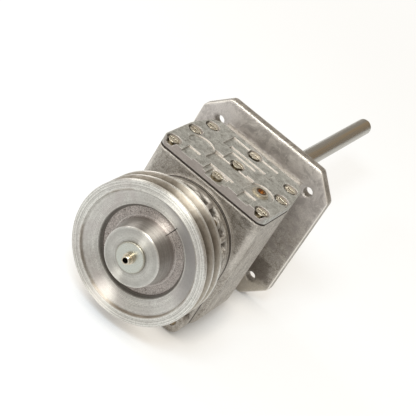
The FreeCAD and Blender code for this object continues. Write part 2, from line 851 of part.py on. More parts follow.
def make_oil_plug():
    """Oil plug with a hexagon socket, on its sealing washer."""
    x = dim["plug_side"]
    y = -dim["plug_back"]
    head_low = plug_pad + dim["plug_washer_thick"]
    head_high = head_low + dim["plug_head_height"]
    shank = post("plug_shank", dim["plug_radius"], x, y, (cover_low - dim["plug_reach"], head_low + OVERCUT))
    head = post("plug_head", dim["plug_head_radius"], x, y, (head_low, head_high))
    socket = hexagon("plug_socket", dim["plug_socket_radius"], head_high - dim["plug_socket_depth"],
                     head_high + OVERCUT, x, y, ZERO, True)
    node(cut("plug_cut", fuse("plug_blank", [shank, head]), [socket]), "oil_plug")
    disc = post("plug_washer_disc", dim["plug_washer_radius"], x, y, (plug_pad, head_low))
    hole = post("plug_washer_hole", dim["plug_radius"] + dim["thread_gap"] * 2, x, y,
                (plug_pad - OVERCUT, head_low + OVERCUT))
    node(cut("plug_washer_cut", disc, [hole]), "oil_plug_washer")


# End cover

def radial_rib(name, angle, y):
    """Rib standing out from the shaft axis at an angle from straight up."""
    turn = math.radians(angle)
    half = dim["rib_thick"] / 2
    rib = doc.addObject("Part::Box", name)
    rib.Placement = FreeCAD.Placement(FreeCAD.Vector(), FreeCAD.Rotation(FreeCAD.Vector(0, 1, 0), angle))
    rib.setExpression("Length", dim["rib_thick"].formula)
    rib.setExpression("Width", (y[1] - y[0]).formula)
    rib.setExpression("Height", body_half.formula)
    return place(rib, half * -math.cos(turn), y[0], half * math.sin(turn))


def end_pockets():
    """Hollows in the front of the end cover, open at its edge, round its hub, ribs, screw bosses and feet."""
    ahead = end_front - OVERCUT
    depth = (ahead, pocket_floor)
    keep = [
        rod("end_hub", dim["bearing_outer"] + dim["hub_wall"], depth),
        rod("end_counter_boss", dim["bush_radius"] + dim["bush_wall"], depth, z=counter_z),
    ]
    keep += [radial_rib("end_rib_%d" % i, angle, depth) for i, angle in enumerate(END_RIB_ANGLES)]
    for i, (x, z) in enumerate(end_screw_places()):
        keep.append(rod("end_boss_%d" % i, dim["end_boss_radius"], (end_boss, pocket_floor + OVERCUT), x, z))
    foot = dim["end_corner"] + dim["end_screw_lift"]
    keep += [rod("end_foot_%d" % i, foot, depth, x, z) for i, (x, z) in enumerate(end_foot_places())]
    return cut("end_pocket_cut", prism("end_pocket", "front", end_arch(as_size(-OVERCUT)), *depth), keep)


def make_end_cover():
    """Front end cover: arch-shaped casting with pockets, ribs, screw bosses and the seal nose."""
    plate = prism("end_plate", "front", end_arch(ZERO), end_front, end_back)
    nose = rod("end_nose", dim["bearing_outer"] + dim["nose_wall"], (nose_front, end_front + OVERCUT))
    hole = dim["screw_radius"] + dim["hole_gap"]
    recess = dim["end_head_radius"] + dim["end_head_gap"]
    ahead = end_front - OVERCUT
    behind = end_back + OVERCUT
    nose_ahead = nose_front - OVERCUT
    tools = [end_pockets()]
    for i, (x, z) in enumerate(end_screw_places()):
        tools.append(rod("end_hole_%d" % i, hole, (ahead, behind), x, z))
        tools.append(rod("end_recess_%d" % i, recess, (ahead, end_boss), x, z))
    for i, (x, z) in enumerate(dowel_places()):
        tools.append(rod("end_dowel_%d" % i, dim["dowel_radius"] + dim["seat_gap"],
                         (end_back - dim["dowel_half"], behind), x, z))
    tools.append(rod("input_bore", dim["bearing_outer"] + dim["seat_gap"], (input_bearing[0], behind)))
    tools.append(rod("input_way", dim["spacer_radius"] + dim["spacer_way"], (nose_ahead, behind)))
    tools.append(rod("input_seal_bore", dim["seal_radius"] + dim["seat_gap"],
                     (nose_ahead, nose_front + dim["seal_width"])))
    tools.append(rod("counter_front_bore", dim["bush_radius"] + dim["seat_gap"],
                     (end_back - dim["bush_length"], behind), z=counter_z))
    node(cut("end_cover_cut", fuse("end_blank", [plate, nose]), tools), "end_cover")


def make_end_gasket():
    """Gasket between the housing and the end cover."""
    span = (end_back - OVERCUT, front_y + OVERCUT)
    blank = prism("end_gasket_plate", "front", end_arch(dim["gasket_inset"]), end_back, front_y)
    holes = [prism("end_gasket_opening", "front", opening_arch(), *span)]
    for i, (x, z) in enumerate(end_screw_places()):
        holes.append(rod("end_gasket_hole_%d" % i, dim["screw_radius"] + dim["hole_gap"], span, x, z))
    for i, (x, z) in enumerate(dowel_places()):
        holes.append(rod("end_gasket_dowel_%d" % i, dim["dowel_radius"] + dim["hole_gap"], span, x, z))
    node(cut("end_gasket_cut", blank, holes), "end_cover_gasket")


def make_end_fasteners():
    """Socket-head screws and locating dowels of the end cover."""
    screws = []
    head_front = end_boss - dim["end_head_height"]
    thread_end = front_y + dim["front_wall"]
    for i, (x, z) in enumerate(end_screw_places()):
        name = "end_screw_%d" % i
        shank = rod(name + "_shank", dim["screw_radius"], (end_boss - OVERCUT, thread_end), x, z)
        head = rod(name + "_head", dim["end_head_radius"], (head_front, end_boss), x, z)
        socket = hexagon(name + "_socket", dim["end_socket_radius"], head_front - OVERCUT,
                         head_front + dim["end_socket_depth"], x, ZERO, z, False)
        screws.append(cut(name, fuse(name + "_blank", [shank, head]), [socket]))
    node(group("end_screw_set", screws), "end_cover_screws")
    reach = dim["dowel_half"] - dim["dowel_short"]
    pins = [rod("dowel_%d" % i, dim["dowel_radius"], (end_back - reach, front_y + reach), x, z)
            for i, (x, z) in enumerate(dowel_places())]
    node(group("dowel_set", pins), "end_cover_dowels")


# Bearings, seals, bushes and circlips

def make_bearing(name, span):
    """Deep-groove ball bearing: two rings and a set of balls."""
    middle = (span[0] + span[1]) / 2
    land = dim["bearing_land"]
    races = (
        ("outer_ring", ball_circle + land, dim["bearing_outer"], dim["race_gap"]),
        ("inner_ring", dim["shaft_radius"] + dim["seat_gap"], ball_circle - land, dim["ball_gap"]),
    )
    for label, inner, outer, gap in races:
        ring = tube("%s_%s_blank" % (name, label), inner, outer, span)
        groove = doc.addObject("Part::Torus", "%s_%s_groove" % (name, label))
        groove.Placement = FreeCAD.Placement(FreeCAD.Vector(), FreeCAD.Rotation(FreeCAD.Vector(1, 0, 0), -90))
        groove.setExpression("Radius1", ball_circle.formula)
        groove.setExpression("Radius2", (dim["ball_radius"] + gap).formula)
        place(groove, ZERO, middle, ZERO)
        node(cut("%s_%s_cut" % (name, label), ring, [groove]), "%s_%s" % (name, label))
    balls = []
    for i in range(BALL_COUNT):
        turn = 2 * math.pi * (i + 0.5) / BALL_COUNT
        ball = doc.addObject("Part::Sphere", "%s_ball_%d" % (name, i))
        ball.setExpression("Radius", dim["ball_radius"].formula)
        balls.append(place(ball, ball_circle * math.sin(turn), middle, ball_circle * math.cos(turn)))
    node(group(name + "_ball_set", balls), name + "_balls")


def make_seal(name, span, shaft, outward):
    """Rotary shaft seal with its channel facing into the gearbox; outward is 1 towards +Y and -1 towards -Y."""
    shut, mouth = (span[1], span[0]) if outward > 0 else (span[0], span[1])
    floor = shut - dim["seal_wall"] * outward
    tip = mouth + dim["seal_lip_back"] * outward
    lip = shaft + dim["run_gap"]
    outer = dim["seal_radius"]
    node(turned(name, [
        (lip, shut, None),
        (outer, shut, None),
        (outer, mouth, None),
        (outer - dim["seal_wall"], mouth, None),
        (outer - dim["seal_wall"], floor, None),
        (lip + dim["seal_wall"], floor, None),
        (lip + dim["seal_lip"], tip, None),
        (lip, tip, None),
    ]), name)


def make_bush(name, inner, outer, span, z):
    """Plain bronze bush."""
    node(tube(name + "_tube", inner, outer, span, z), name)


def make_circlip(name, inner, outer, y, z, gap_up):
    """Spring ring with a gap."""
    ring = tube(name + "_ring", inner, outer, y, z)
    reach = (z, z + outer + OVERCUT) if gap_up else (z - outer - OVERCUT, z)
    half = dim["circlip_band"]
    gap = block(name + "_gap", (-half, half), (y[0] - OVERCUT, y[1] + OVERCUT), reach)
    node(cut(name + "_cut", ring, [gap]), name)


def make_shaft_circlip(name, groove_radius, groove, z):
    """Circlip in a groove of a shaft, with play on both sides."""
    play = dim["circlip_play"]
    inner = groove_radius + dim["seat_gap"]
    outer = groove_radius + dim["circlip_band"]
    make_circlip(name, inner, outer, (groove[0] + play, groove[1] - play), z, False)


# Gears and shafts

def involute(angle):
    """Involute function of a pressure angle."""
    return math.tan(angle) - angle


def gear_wire(teeth, shift):
    """Closed outline of an involute gear in the XZ plane, one tooth pointing up."""
    module = dim["gear_module"].value
    pitch = module * teeth / 2
    base = pitch * math.cos(PRESSURE_ANGLE)
    tip = pitch + module * (1 + shift)
    root = pitch - module * (dim["tooth_root"].value - shift)
    thick = module * (math.pi / 2 + 2 * shift * math.tan(PRESSURE_ANGLE)) - dim["tooth_gap"].value
    half = thick / (2 * pitch) + involute(PRESSURE_ANGLE)

    def at(radius, angle):
        return FreeCAD.Vector(radius * math.sin(angle), 0, radius * math.cos(angle))

    def flank_angle(radius):
        return half - involute(math.acos(min(1.0, base / radius)))

    start = max(base, root)
    radii = [start + (tip - start) * share for share in FLANK_SHARES]
    step = 2 * math.pi / teeth
    edges = []
    for i in range(teeth):
        middle = i * step
        rising = [at(radius, middle - flank_angle(radius)) for radius in radii]
        falling = [at(radius, middle + flank_angle(radius)) for radius in reversed(radii)]
        foot_in = at(root, middle - flank_angle(start))
        foot_out = at(root, middle + flank_angle(start))
        foot_next = at(root, middle + step - flank_angle(start))
        for flank in (rising, falling):
            curve = Part.BSplineCurve()
            curve.interpolate(flank)
            edges.append(curve.toShape())
        edges.append(Part.Arc(rising[-1], at(tip, middle), falling[0]).toShape())
        edges.append(Part.Arc(foot_out, at(root, middle + step / 2), foot_next).toShape())
        if base > root:
            edges.append(Part.LineSegment(foot_in, rising[0]).toShape())
            edges.append(Part.LineSegment(falling[-1], foot_out).toShape())
    return Part.Wire(Part.__sortEdges__(edges))


def gear_blank(name, teeth, shift, span, z):
    """Toothed disc between two Sizes along Y."""
    face = Part.Face(gear_wire(int(round(teeth.value)), shift))
    blank = doc.addObject("Part::Feature", name)
    blank.Shape = face.extrude(FreeCAD.Vector(0, span[1].value - span[0].value, 0))
    return place(blank, ZERO, span[0], z)


def make_wheel(name, span, seat, z, key):
    """Keyed gear wheel with a turned web on both sides."""
    hub = seat + dim["web_hub"]
    rim = wheel_root - dim["web_rim"]
    depth = dim["web_depth"]
    faces = ((span[0] - OVERCUT, span[0] + depth), (span[1] - depth, span[1] + OVERCUT))
    bore = rod(name + "_bore", seat + dim["seat_gap"], (span[0] - OVERCUT, span[1] + OVERCUT), z=z)
    tools = [bore, key] + [tube("%s_web_%d" % (name, i), hub, rim, side, z) for i, side in enumerate(faces)]
    teeth = gear_blank(name + "_teeth", dim["wheel_teeth"], -dim["tooth_shift"].value, span, z)
    node(cut(name + "_cut", teeth, tools), name)


def key_block(name, seat, span, z, play, run):
    """Key, or with play and run its slot, on top of a shaft seat."""
    half = dim["key_width"] / 2 + play
    low = z + seat - dim["key_sink"] - play
    high = low + dim["key_height"] + play * 2
    return block(name, (-half, half), (span[0] - run, span[1] + run), (low, high))


def make_key(name, seat, span, z):
    """Parallel key; returns the slots that its shaft and its wheel need."""
    play = dim["seat_gap"]
    node(key_block(name, seat, span, z, ZERO, ZERO), name)
    slot = key_block(name + "_seat", seat, span, z, play, play)
    way = key_block(name + "_way", seat, span, z, play, as_size(KEYWAY_RUN))
    return slot, way


def make_input():
    """Pulley-side shaft with its pinion, spacer and key."""
    shaft = dim["shaft_radius"]
    spigot = dim["spigot_radius"]
    core = least(shaft, pinion_core)
    shoulder = shaft + dim["input_shoulder"]
    spigot_end = output_front + dim["pilot_length"] - OVERCUT
    pinion = (input_span[0] - dim["pinion_margin"], input_span[1] + dim["pinion_margin"])
    thread = dim["stud_thread"] + dim["thread_gap"]
    chamfer = dim["shaft_chamfer"]
    blank = turned("input_blank", [
        (ZERO, spigot_end, None),
        (spigot, spigot_end, None),
        (spigot, output_front - dim["input_gap"], None),
        (core, output_front - dim["input_gap"], None),
        (core, pinion[0] - dim["shoulder_gap"], None),
        (shoulder, pinion[0] - dim["shoulder_gap"], None),
        (shoulder, input_bearing[1], None),
        (shaft, input_bearing[1], None),
        (shaft, shaft_tip + chamfer, None),
        (shaft - chamfer, shaft_tip, None),
        (thread, shaft_tip, None),
        (thread, shaft_tip + dim["stud_depth"], None),
        (ZERO, shaft_tip + dim["stud_depth"], None),
    ])
    teeth = gear_blank("input_teeth", dim["pinion_teeth"], dim["tooth_shift"].value, pinion, ZERO)
    key_span = (pulley_face + dim["key_margin"], pulley_rear - dim["key_margin"] * 2)
    slot, way = make_key("pulley_key", shaft, key_span, ZERO)
    node(cut("input_cut", fuse("input_fused", [blank, teeth]), [slot]), "input_pinion_shaft")
    spacer = tube("spacer_tube", shaft + dim["seat_gap"], dim["spacer_radius"], (hub_back, input_bearing[0]))
    node(spacer, "pulley_spacer")
    make_pulley(way)
    make_hub_fastening()


def make_pulley(way):
    """Two-groove belt pulley, dished on both faces, with a raised hub."""
    outer = dim["pulley_radius"]
    edge = dim["pulley_edge"]
    soft = dim["web_fillet"]
    web_front = pulley_face + dim["recess_depth"]
    web_rear = web_front + dim["web_thick"]
    bore = dim["shaft_radius"] + dim["seat_gap"]
    floor = outer - dim["groove_depth"]
    profile = [
        (bore, hub_back, None),
        (dim["hub_rear_radius"], hub_back, None),
        (dim["hub_rear_radius"], web_rear, soft),
        (dim["rim_inner"], web_rear, soft),
        (dim["rim_inner"] + dim["rim_draft"], pulley_rear, None),
        (outer - edge, pulley_rear, None),
        (outer, pulley_rear - edge, None),
    ]
    for i in (1, 0):
        centre = pulley_face + dim["groove_edge"] + dim["groove_pitch"] * i
        profile += [
            (outer, centre + dim["groove_width"] / 2, None),
            (floor, centre + dim["groove_floor"] / 2, None),
            (floor, centre - dim["groove_floor"] / 2, None),
            (outer, centre - dim["groove_width"] / 2, None),
        ]
    profile += [
        (outer, pulley_face + edge, None),
        (outer - edge, pulley_face, None),
        (dim["rim_step_radius"], pulley_face, None),
        (dim["rim_step_radius"] - dim["rim_bevel"], pulley_face + dim["rim_step"], None),
        (dim["dish_radius"], pulley_face + dim["dish_depth"], None),
        (dim["recess_radius"], web_front, soft),
        (dim["hub_base_radius"], web_front, soft),
        (dim["hub_radius"], hub_face + edge, None),
        (dim["hub_radius"] - edge, hub_face, None),
        (bore, hub_face, None),
    ]
    node(cut("pulley_cut", turned("pulley_turned", profile), [way]), "drive_pulley")


def make_hub_fastening():
    """Washer and hollow stud that hold the pulley on its shaft."""
    face = hub_face - dim["hub_washer_thick"]
    hole = dim["stud_thread"] + dim["hole_gap"]
    rim = dim["hub_washer_radius"]
    bevel = dim["hub_washer_bevel"]
    node(turned("washer_turned", [
        (hole, face, None),
        (rim - bevel, face, None),
        (rim, face + bevel, None),
        (rim, hub_face, None),
        (hole, hub_face, None),
    ]), "hub_washer")
    collar = face - dim["stud_collar"]
    tip = face - dim["stud_length"]
    root = shaft_tip + dim["stud_depth"] - dim["stud_spare"]
    chamfer = dim["stud_chamfer"]
    node(turned("stud_turned", [
        (dim["stud_bore"], tip, None),
        (dim["stud_radius"] - chamfer, tip, None),
        (dim["stud_radius"], tip + chamfer, None),
        (dim["stud_radius"], collar, None),
        (dim["stud_collar_radius"], collar, None),
        (dim["stud_collar_radius"], face, None),
        (dim["stud_thread"], face, None),
        (dim["stud_thread"], root, None),
        (dim["stud_bore"], root, None),
    ]), "hub_stud")


def clip_groove_ahead(face):
    """Circlip groove just in front of a wheel's front face."""
    play = dim["circlip_play"]
    return (face - dim["circlip_thick"] - play * 3, face - play)


def make_countershaft():
    """Countershaft with its pinion, keyed wheel and circlip."""
    journal = dim["journal_radius"]
    seat = dim["counter_seat"]
    core = least(seat, pinion_core)
    margin = dim["pinion_margin"] / 2
    pinion = (output_span[0] - margin, output_span[1] + margin)
    groove_radius = seat - dim["circlip_depth"]
    groove = clip_groove_ahead(input_span[0])
    play = dim["end_play"]
    front = end_back - dim["bush_length"] + play
    rear = rear_y + dim["bush_length"] - play
    shoulder = seat + dim["shoulder_step"]
    shoulder_rear = input_span[1] + dim["counter_shoulder"]
    blank = place(turned("counter_blank", [
        (ZERO, rear, None),
        (journal, rear, None),
        (journal, rear_y - play, None),
        (core, rear_y - play, None),
        (core, shoulder_rear, None),
        (shoulder, shoulder_rear, None),
        (shoulder, input_span[1], None),
        (seat, input_span[1], None),
        (seat, groove[1], None),
        (groove_radius, groove[1], None),
        (groove_radius, groove[0], None),
        (seat, groove[0], None),
        (seat, end_back + play, None),
        (journal, end_back + play, None),
        (journal, front, None),
        (ZERO, front, None),
    ]), ZERO, ZERO, counter_z)
    teeth = gear_blank("counter_teeth", dim["pinion_teeth"], dim["tooth_shift"].value, pinion, counter_z)
    key_span = (input_span[0] + dim["key_margin"], input_span[1] - dim["key_margin"])
    slot, way = make_key("countershaft_key", seat, key_span, counter_z)
    node(cut("counter_cut", fuse("counter_fused", [blank, teeth]), [slot]), "countershaft")
    make_wheel("countershaft_gear", input_span, seat, counter_z, way)
    make_shaft_circlip("countershaft_circlip", groove_radius, groove, counter_z)


def make_output():
    """Output shaft with its keyed wheel, pilot bush and circlips."""
    shaft = dim["shaft_radius"]
    seat = dim["output_seat"]
    pilot = dim["pilot_radius"] + dim["seat_gap"]
    pilot_end = output_front + dim["pilot_length"]
    reach = dim["shaft_reach"]
    chamfer = dim["shaft_chamfer"]
    play = dim["circlip_play"]
    groove_radius = seat - dim["circlip_depth"]
    groove = clip_groove_ahead(output_span[0])
    rear_radius = shaft - dim["circlip_depth"]
    rear_groove = (output_bearing[1] + play, output_bearing[1] + dim["circlip_thick"] + play * 3)
    shoulder = seat + dim["shoulder_step"]
    shoulder_rear = output_span[1] + dim["shoulder_length"]
    undercut = (dim["undercut_start"], dim["undercut_start"] + dim["undercut_width"])
    undercut_radius = shaft - dim["undercut_depth"]
    blank = turned("output_blank", [
        (pilot, output_front, None),
        (seat - chamfer, output_front, None),
        (seat, output_front + chamfer, None),
        (seat, groove[0], None),
        (groove_radius, groove[0], None),
        (groove_radius, groove[1], None),
        (seat, groove[1], None),
        (seat, output_span[1], None),
        (shoulder, output_span[1], None),
        (shoulder, shoulder_rear, None),
        (seat, shoulder_rear, None),
        (seat, output_bearing[0], None),
        (shaft, output_bearing[0], None),
        (shaft, rear_groove[0], None),
        (rear_radius, rear_groove[0], None),
        (rear_radius, rear_groove[1], None),
        (shaft, rear_groove[1], None),
        (shaft, undercut[0], None),
        (undercut_radius, undercut[0], None),
        (undercut_radius, undercut[1], None),
        (shaft, undercut[1], None),
        (shaft, reach, chamfer),
        (ZERO, reach, None),
        (ZERO, pilot_end, None),
        (pilot, pilot_end, None),
    ])
    key_span = (output_span[0] + dim["key_margin"], output_span[1] - dim["key_margin"])
    slot, way = make_key("output_key", seat, key_span, ZERO)
    node(cut("output_cut", blank, [slot]), "output_shaft")
    make_wheel("output_gear", output_span, seat, ZERO, way)
    make_shaft_circlip("output_gear_circlip", groove_radius, groove, ZERO)
    make_shaft_circlip("output_shaft_circlip", rear_radius, rear_groove, ZERO)
    make_bush("pilot_bush", dim["spigot_radius"] + dim["run_gap"], dim["pilot_radius"],
              (output_front, pilot_end - dim["end_play"]), ZERO)


def make_bearings():
    """Bearings, bushes and seals that carry the three shafts."""
    make_bearing("input_bearing", input_bearing)
    make_bearing("output_bearing", output_bearing)
    bore = dim["bearing_outer"]
    play = dim["circlip_play"]
    make_circlip("output_bearing_circlip", bore - dim["circlip_band"], bore + dim["circlip_depth"] - play * 2,
                 (output_bearing[0] - dim["circlip_thick"], output_bearing[0] - play), ZERO, True)
    sink = dim["seal_sink"]
    width = dim["seal_width"]
    make_seal("input_oil_seal", (nose_front + sink, nose_front + width), dim["spacer_radius"], -1)
    make_seal("output_oil_seal", (-width, -sink), dim["shaft_radius"], 1)
    running = dim["journal_radius"] + dim["run_gap"]
    length = dim["bush_length"] - dim["bush_short"]
    make_bush("countershaft_front_bush", running, dim["bush_radius"], (end_back - length, end_back), counter_z)
    make_bush("countershaft_rear_bush", running, dim["bush_radius"], (rear_y, rear_y + length), counter_z)


def write_parts():
    """Tests every object, then writes one file for each sub-part."""
    doc.recompute()
    for item in doc.Objects:
        if "Invalid" in item.State or "Error" in item.State:
            raise RuntimeError("failed object: %s %s" % (item.Name, item.State))
    for item in nodes:
        if item.Shape.isNull() or not item.Shape.isValid():
            raise RuntimeError("bad shape: " + item.Label)
    os.makedirs("parts", exist_ok=True)
    for item in nodes:
        item.Shape.exportStep(os.path.join("parts", item.Label + ".step"))
        print(item.Label, len(item.Shape.Solids), round(item.Shape.Volume, 1))


make_housing()
make_top_cover()
make_cover_screws()
make_oil_plug()
make_end_cover()
make_end_gasket()
make_end_fasteners()
make_bearings()
make_input()
make_countershaft()
make_output()
write_parts()
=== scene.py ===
import json
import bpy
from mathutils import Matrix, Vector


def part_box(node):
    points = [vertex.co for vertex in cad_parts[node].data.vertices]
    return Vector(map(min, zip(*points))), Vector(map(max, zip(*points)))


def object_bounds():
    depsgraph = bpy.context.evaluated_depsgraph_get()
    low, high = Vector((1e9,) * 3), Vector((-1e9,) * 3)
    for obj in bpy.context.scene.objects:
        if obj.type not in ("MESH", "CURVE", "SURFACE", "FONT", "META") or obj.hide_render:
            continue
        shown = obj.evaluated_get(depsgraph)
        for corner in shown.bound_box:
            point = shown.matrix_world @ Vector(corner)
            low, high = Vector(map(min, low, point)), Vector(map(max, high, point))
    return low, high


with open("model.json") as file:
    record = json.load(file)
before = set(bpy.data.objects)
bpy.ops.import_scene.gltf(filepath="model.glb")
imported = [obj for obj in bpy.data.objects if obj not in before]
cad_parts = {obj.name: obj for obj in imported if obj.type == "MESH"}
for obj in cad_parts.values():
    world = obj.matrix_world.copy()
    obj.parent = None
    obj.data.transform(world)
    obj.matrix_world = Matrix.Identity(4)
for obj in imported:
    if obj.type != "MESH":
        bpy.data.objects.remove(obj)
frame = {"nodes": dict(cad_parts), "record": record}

from types import SimpleNamespace as Palette

import bpy
from mathutils import Matrix, Vector

CAD_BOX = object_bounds()

# Camera and lamps

CAMERA_PLACE = Vector((0.2580971, -1.0575387, 0.5788389))
CAMERA_RIGHT = Vector((0.7470533, 0.4674871, 0.4726173))
CAMERA_DOWN = Vector((0.6269198, -0.2589906, -0.7347757))
CAMERA_AHEAD = Vector((-0.2210947, 0.8452098, -0.4865568))
FOCAL_PIXELS = 1400.0
IMAGE_PIXELS = 416.0
SENSOR = 36.0
LENS = FOCAL_PIXELS / IMAGE_PIXELS * SENSOR
AIM = Vector((0.0, -0.03, 0.0))
KEY_PLACE = Vector((-0.08, -1.25, 1.45))
KEY_SIZE = (0.8, 0.5)
KEY_POWER = 27.0
KEY_COLOUR = (1.0, 1.0, 0.96)
SIDE_PLACE = Vector((-1.5, -0.1, 0.9))
SIDE_SIZE = (0.8, 0.8)
SIDE_POWER = 9.0
SIDE_COLOUR = (1.0, 1.0, 1.0)


def add_camera():
    """Camera at the photograph's viewpoint."""
    data = bpy.data.cameras.new("camera")
    data.sensor_width = SENSOR
    data.lens = LENS
    camera = bpy.data.objects.new("camera", data)
    bpy.context.scene.collection.objects.link(camera)
    turn = Matrix((CAMERA_RIGHT, -CAMERA_DOWN, -CAMERA_AHEAD)).transposed().to_4x4()
    camera.matrix_world = Matrix.Translation(CAMERA_PLACE) @ turn
    bpy.context.scene.camera = camera


def add_lamp(name, place, size, power, colour):
    """Soft lamp of a width and height that points at the object."""
    data = bpy.data.lights.new(name, "AREA")
    data.shape = "RECTANGLE"
    data.size, data.size_y = size
    data.energy = power
    data.color = colour
    lamp = bpy.data.objects.new(name, data)
    lamp.location = place
    lamp.rotation_euler = (AIM - place).to_track_quat("-Z", "Y").to_euler()
    bpy.context.scene.collection.objects.link(lamp)


# Shader graphs

MOST_NOISE = (0.3, 0.7)


def opaque(colour):
    """Colour with full alpha, unless it is a node's socket."""
    return colour if isinstance(colour, bpy.types.NodeSocket) else (*colour, 1.0)


class Graph:
    """Node tree with short calls for the nodes that the materials use."""

    def __init__(self, tree):
        self.tree = tree
        self.tree.nodes.clear()

    def feed(self, socket, value):
        """Links an input to another node's socket, or sets it to a plain value."""
        if isinstance(value, bpy.types.NodeSocket):
            self.tree.links.new(value, socket)
        else:
            socket.default_value = value

    def add(self, kind, inputs=None, **settings):
        """New node with its settings and inputs."""
        node = self.tree.nodes.new(kind)
        for key, value in settings.items():
            setattr(node, key, value)
        for key, value in (inputs or {}).items():
            self.feed(node.inputs[key], value)
        return node

    def place(self):
        """Position in the CAD frame, in metres."""
        return self.add("ShaderNodeTexCoord").outputs["Object"]

    def axes(self, vector):
        """The three components of a vector."""
        return self.add("ShaderNodeSeparateXYZ", {0: vector}).outputs

    def facing(self):
        """The three components of the direction that the surface faces."""
        return self.axes(self.add("ShaderNodeNewGeometry").outputs["Normal"])

    def vector(self, x, y, z):
        """Vector of three components."""
        return self.add("ShaderNodeCombineXYZ", {0: x, 1: y, 2: z}).outputs[0]

    def math(self, operation, a, b=0.0, clamp=False):
        """One step of arithmetic."""
        return self.add("ShaderNodeMath", {0: a, 1: b}, operation=operation, use_clamp=clamp).outputs[0]

    def product(self, *values):
        """The values multiplied, so that masks give 1 only where all of them are 1."""
        result = values[0]
        for value in values[1:]:
            result = self.math("MULTIPLY", result, value)
        return result

    def total(self, *values):
        """The values added up."""
        result = values[0]
        for value in values[1:]:
            result = self.math("ADD", result, value)
        return result

    def absolute(self, value):
        """The value without its sign."""
        return self.math("ABSOLUTE", value)

    def length(self, vector):
        """Length of a vector."""
        return self.add("ShaderNodeVectorMath", {0: vector}, operation="LENGTH").outputs["Value"]

    def dot(self, first, second):
        """How far two directions agree, 1 where they are the same."""
        inputs = {0: first, 1: second}
        return self.add("ShaderNodeVectorMath", inputs, operation="DOT_PRODUCT").outputs["Value"]

    def radius(self, a, b, centre=(0.0, 0.0)):
        """Distance from a centre in the plane of two components."""
        across = self.math("SUBTRACT", a, centre[0])
        up = self.math("SUBTRACT", b, centre[1])
        return self.length(self.vector(across, up, 0.0))

    def along(self, x, z, way):
        """Distance from the shaft axis in one direction across it."""
        return self.total(self.product(x, way[0]), self.product(z, way[1]))

    def stretch(self, vector, scale, turn=(0.0, 0.0, 0.0)):
        """Vector turned and scaled unevenly."""
        inputs = {"Vector": vector, "Rotation": turn, "Scale": scale}
        return self.add("ShaderNodeMapping", inputs).outputs[0]

    def noise(self, vector, scale=1.0, detail=4.0, rough=0.6, twist=0.0):
        """Cloudy pattern from 0 to 1."""
        return self.add("ShaderNodeTexNoise", {
            "Vector": vector, "Scale": scale, "Detail": detail, "Roughness": rough, "Distortion": twist,
        }).outputs["Fac"]

    def cells(self, vector, scale):
        """Distance from the middles of scattered cells."""
        return self.add("ShaderNodeTexVoronoi", {"Vector": vector, "Scale": scale}).outputs["Distance"]

    def span(self, value, low, high, start, end, smooth=True):
        """Value carried from one range to another and held at its ends."""
        kind = "SMOOTHSTEP" if smooth else "LINEAR"
        inputs = {0: value, 1: low, 2: high, 3: start, 4: end}
        return self.add("ShaderNodeMapRange", inputs, interpolation_type=kind).outputs[0]

    def rise(self, value, low, high, full=1.0):
        """0 up to a low value, and full from a high one."""
        return self.span(value, low, high, 0.0, full)

    def fall(self, value, low, high, full=1.0):
        """Full up to a low value, and 0 from a high one."""
        return self.span(value, low, high, full, 0.0)

    def band(self, value, middle, half, soft):
        """1 within half of a middle value, falling to 0 over a soft edge."""
        away = self.absolute(self.math("SUBTRACT", value, middle))
        return self.fall(away, half, half + soft)

    def occlusion(self, reach, samples):
        """1 in the open, less where something is within reach."""
        return self.add("ShaderNodeAmbientOcclusion", {"Distance": reach}, samples=samples).outputs["AO"]

    def mix(self, share, first, second):
        """First colour where the share is 0, second where it is 1."""
        inputs = {0: share, 6: opaque(first), 7: opaque(second)}
        return self.add("ShaderNodeMix", inputs, data_type="RGBA").outputs[2]

    def bump(self, height, strength, distance, normal=None):
        """Normal with a fine height pattern on it."""
        inputs = {"Height": height, "Strength": strength, "Distance": distance}
        if normal is not None:
            inputs["Normal"] = normal
        return self.add("ShaderNodeBump", inputs).outputs[0]


class Coat:
    """Colour that is built up in layers."""

    def __init__(self, graph, colour):
        self.graph = graph
        self.colour = colour

    def lay(self, colour, *masks, share=1.0):
        """Lays a share of a colour on where the masks overlap."""
        self.colour = self.graph.mix(self.graph.product(*masks, share), self.colour, colour)


def finished(name, build):
    """Material whose shader inputs come from a build function."""
    material = bpy.data.materials.new(name)
    material.use_nodes = True
    graph = Graph(material.node_tree)
    shader = graph.add("ShaderNodeBsdfPrincipled")
    for key, value in build(graph).items():
        graph.feed(shader.inputs[key], value)
    graph.add("ShaderNodeOutputMaterial", {"Surface": shader.outputs[0]})
    return material


# Edges and crevices

EDGE_SAMPLES = 4
CREVICE_OPEN = (0.30, 0.92)
# Edge mask for the pale outer edges, which are partly worn metal and partly a painted highlight.
EDGE_AGREE = (0.80, 0.99)
EDGE_HIDDEN = (0.0, 0.45)


def edge_normal(graph, radius):
    """Normal that is rounded over along sharp edges."""
    return graph.add("ShaderNodeBevel", {"Radius": radius}, samples=EDGE_SAMPLES).outputs[0]


def crevice(graph, reach):
    """1 deep in corners and close to other pieces, 0 on open faces."""
    return graph.fall(graph.occlusion(reach, EDGE_SAMPLES), *CREVICE_OPEN)


def edge_wear_and_sheen(graph, normal, hidden):
    """1 along outer edges, where the rounded normal leaves the face's own; the pale colour laid there is
    partly worn metal, partly a painted highlight.
    """
    own = graph.add("ShaderNodeNewGeometry").outputs["Normal"]
    edge = graph.fall(graph.dot(normal, own), *EDGE_AGREE)
    return graph.product(edge, graph.fall(hidden, *EDGE_HIDDEN))


# Cast aluminium

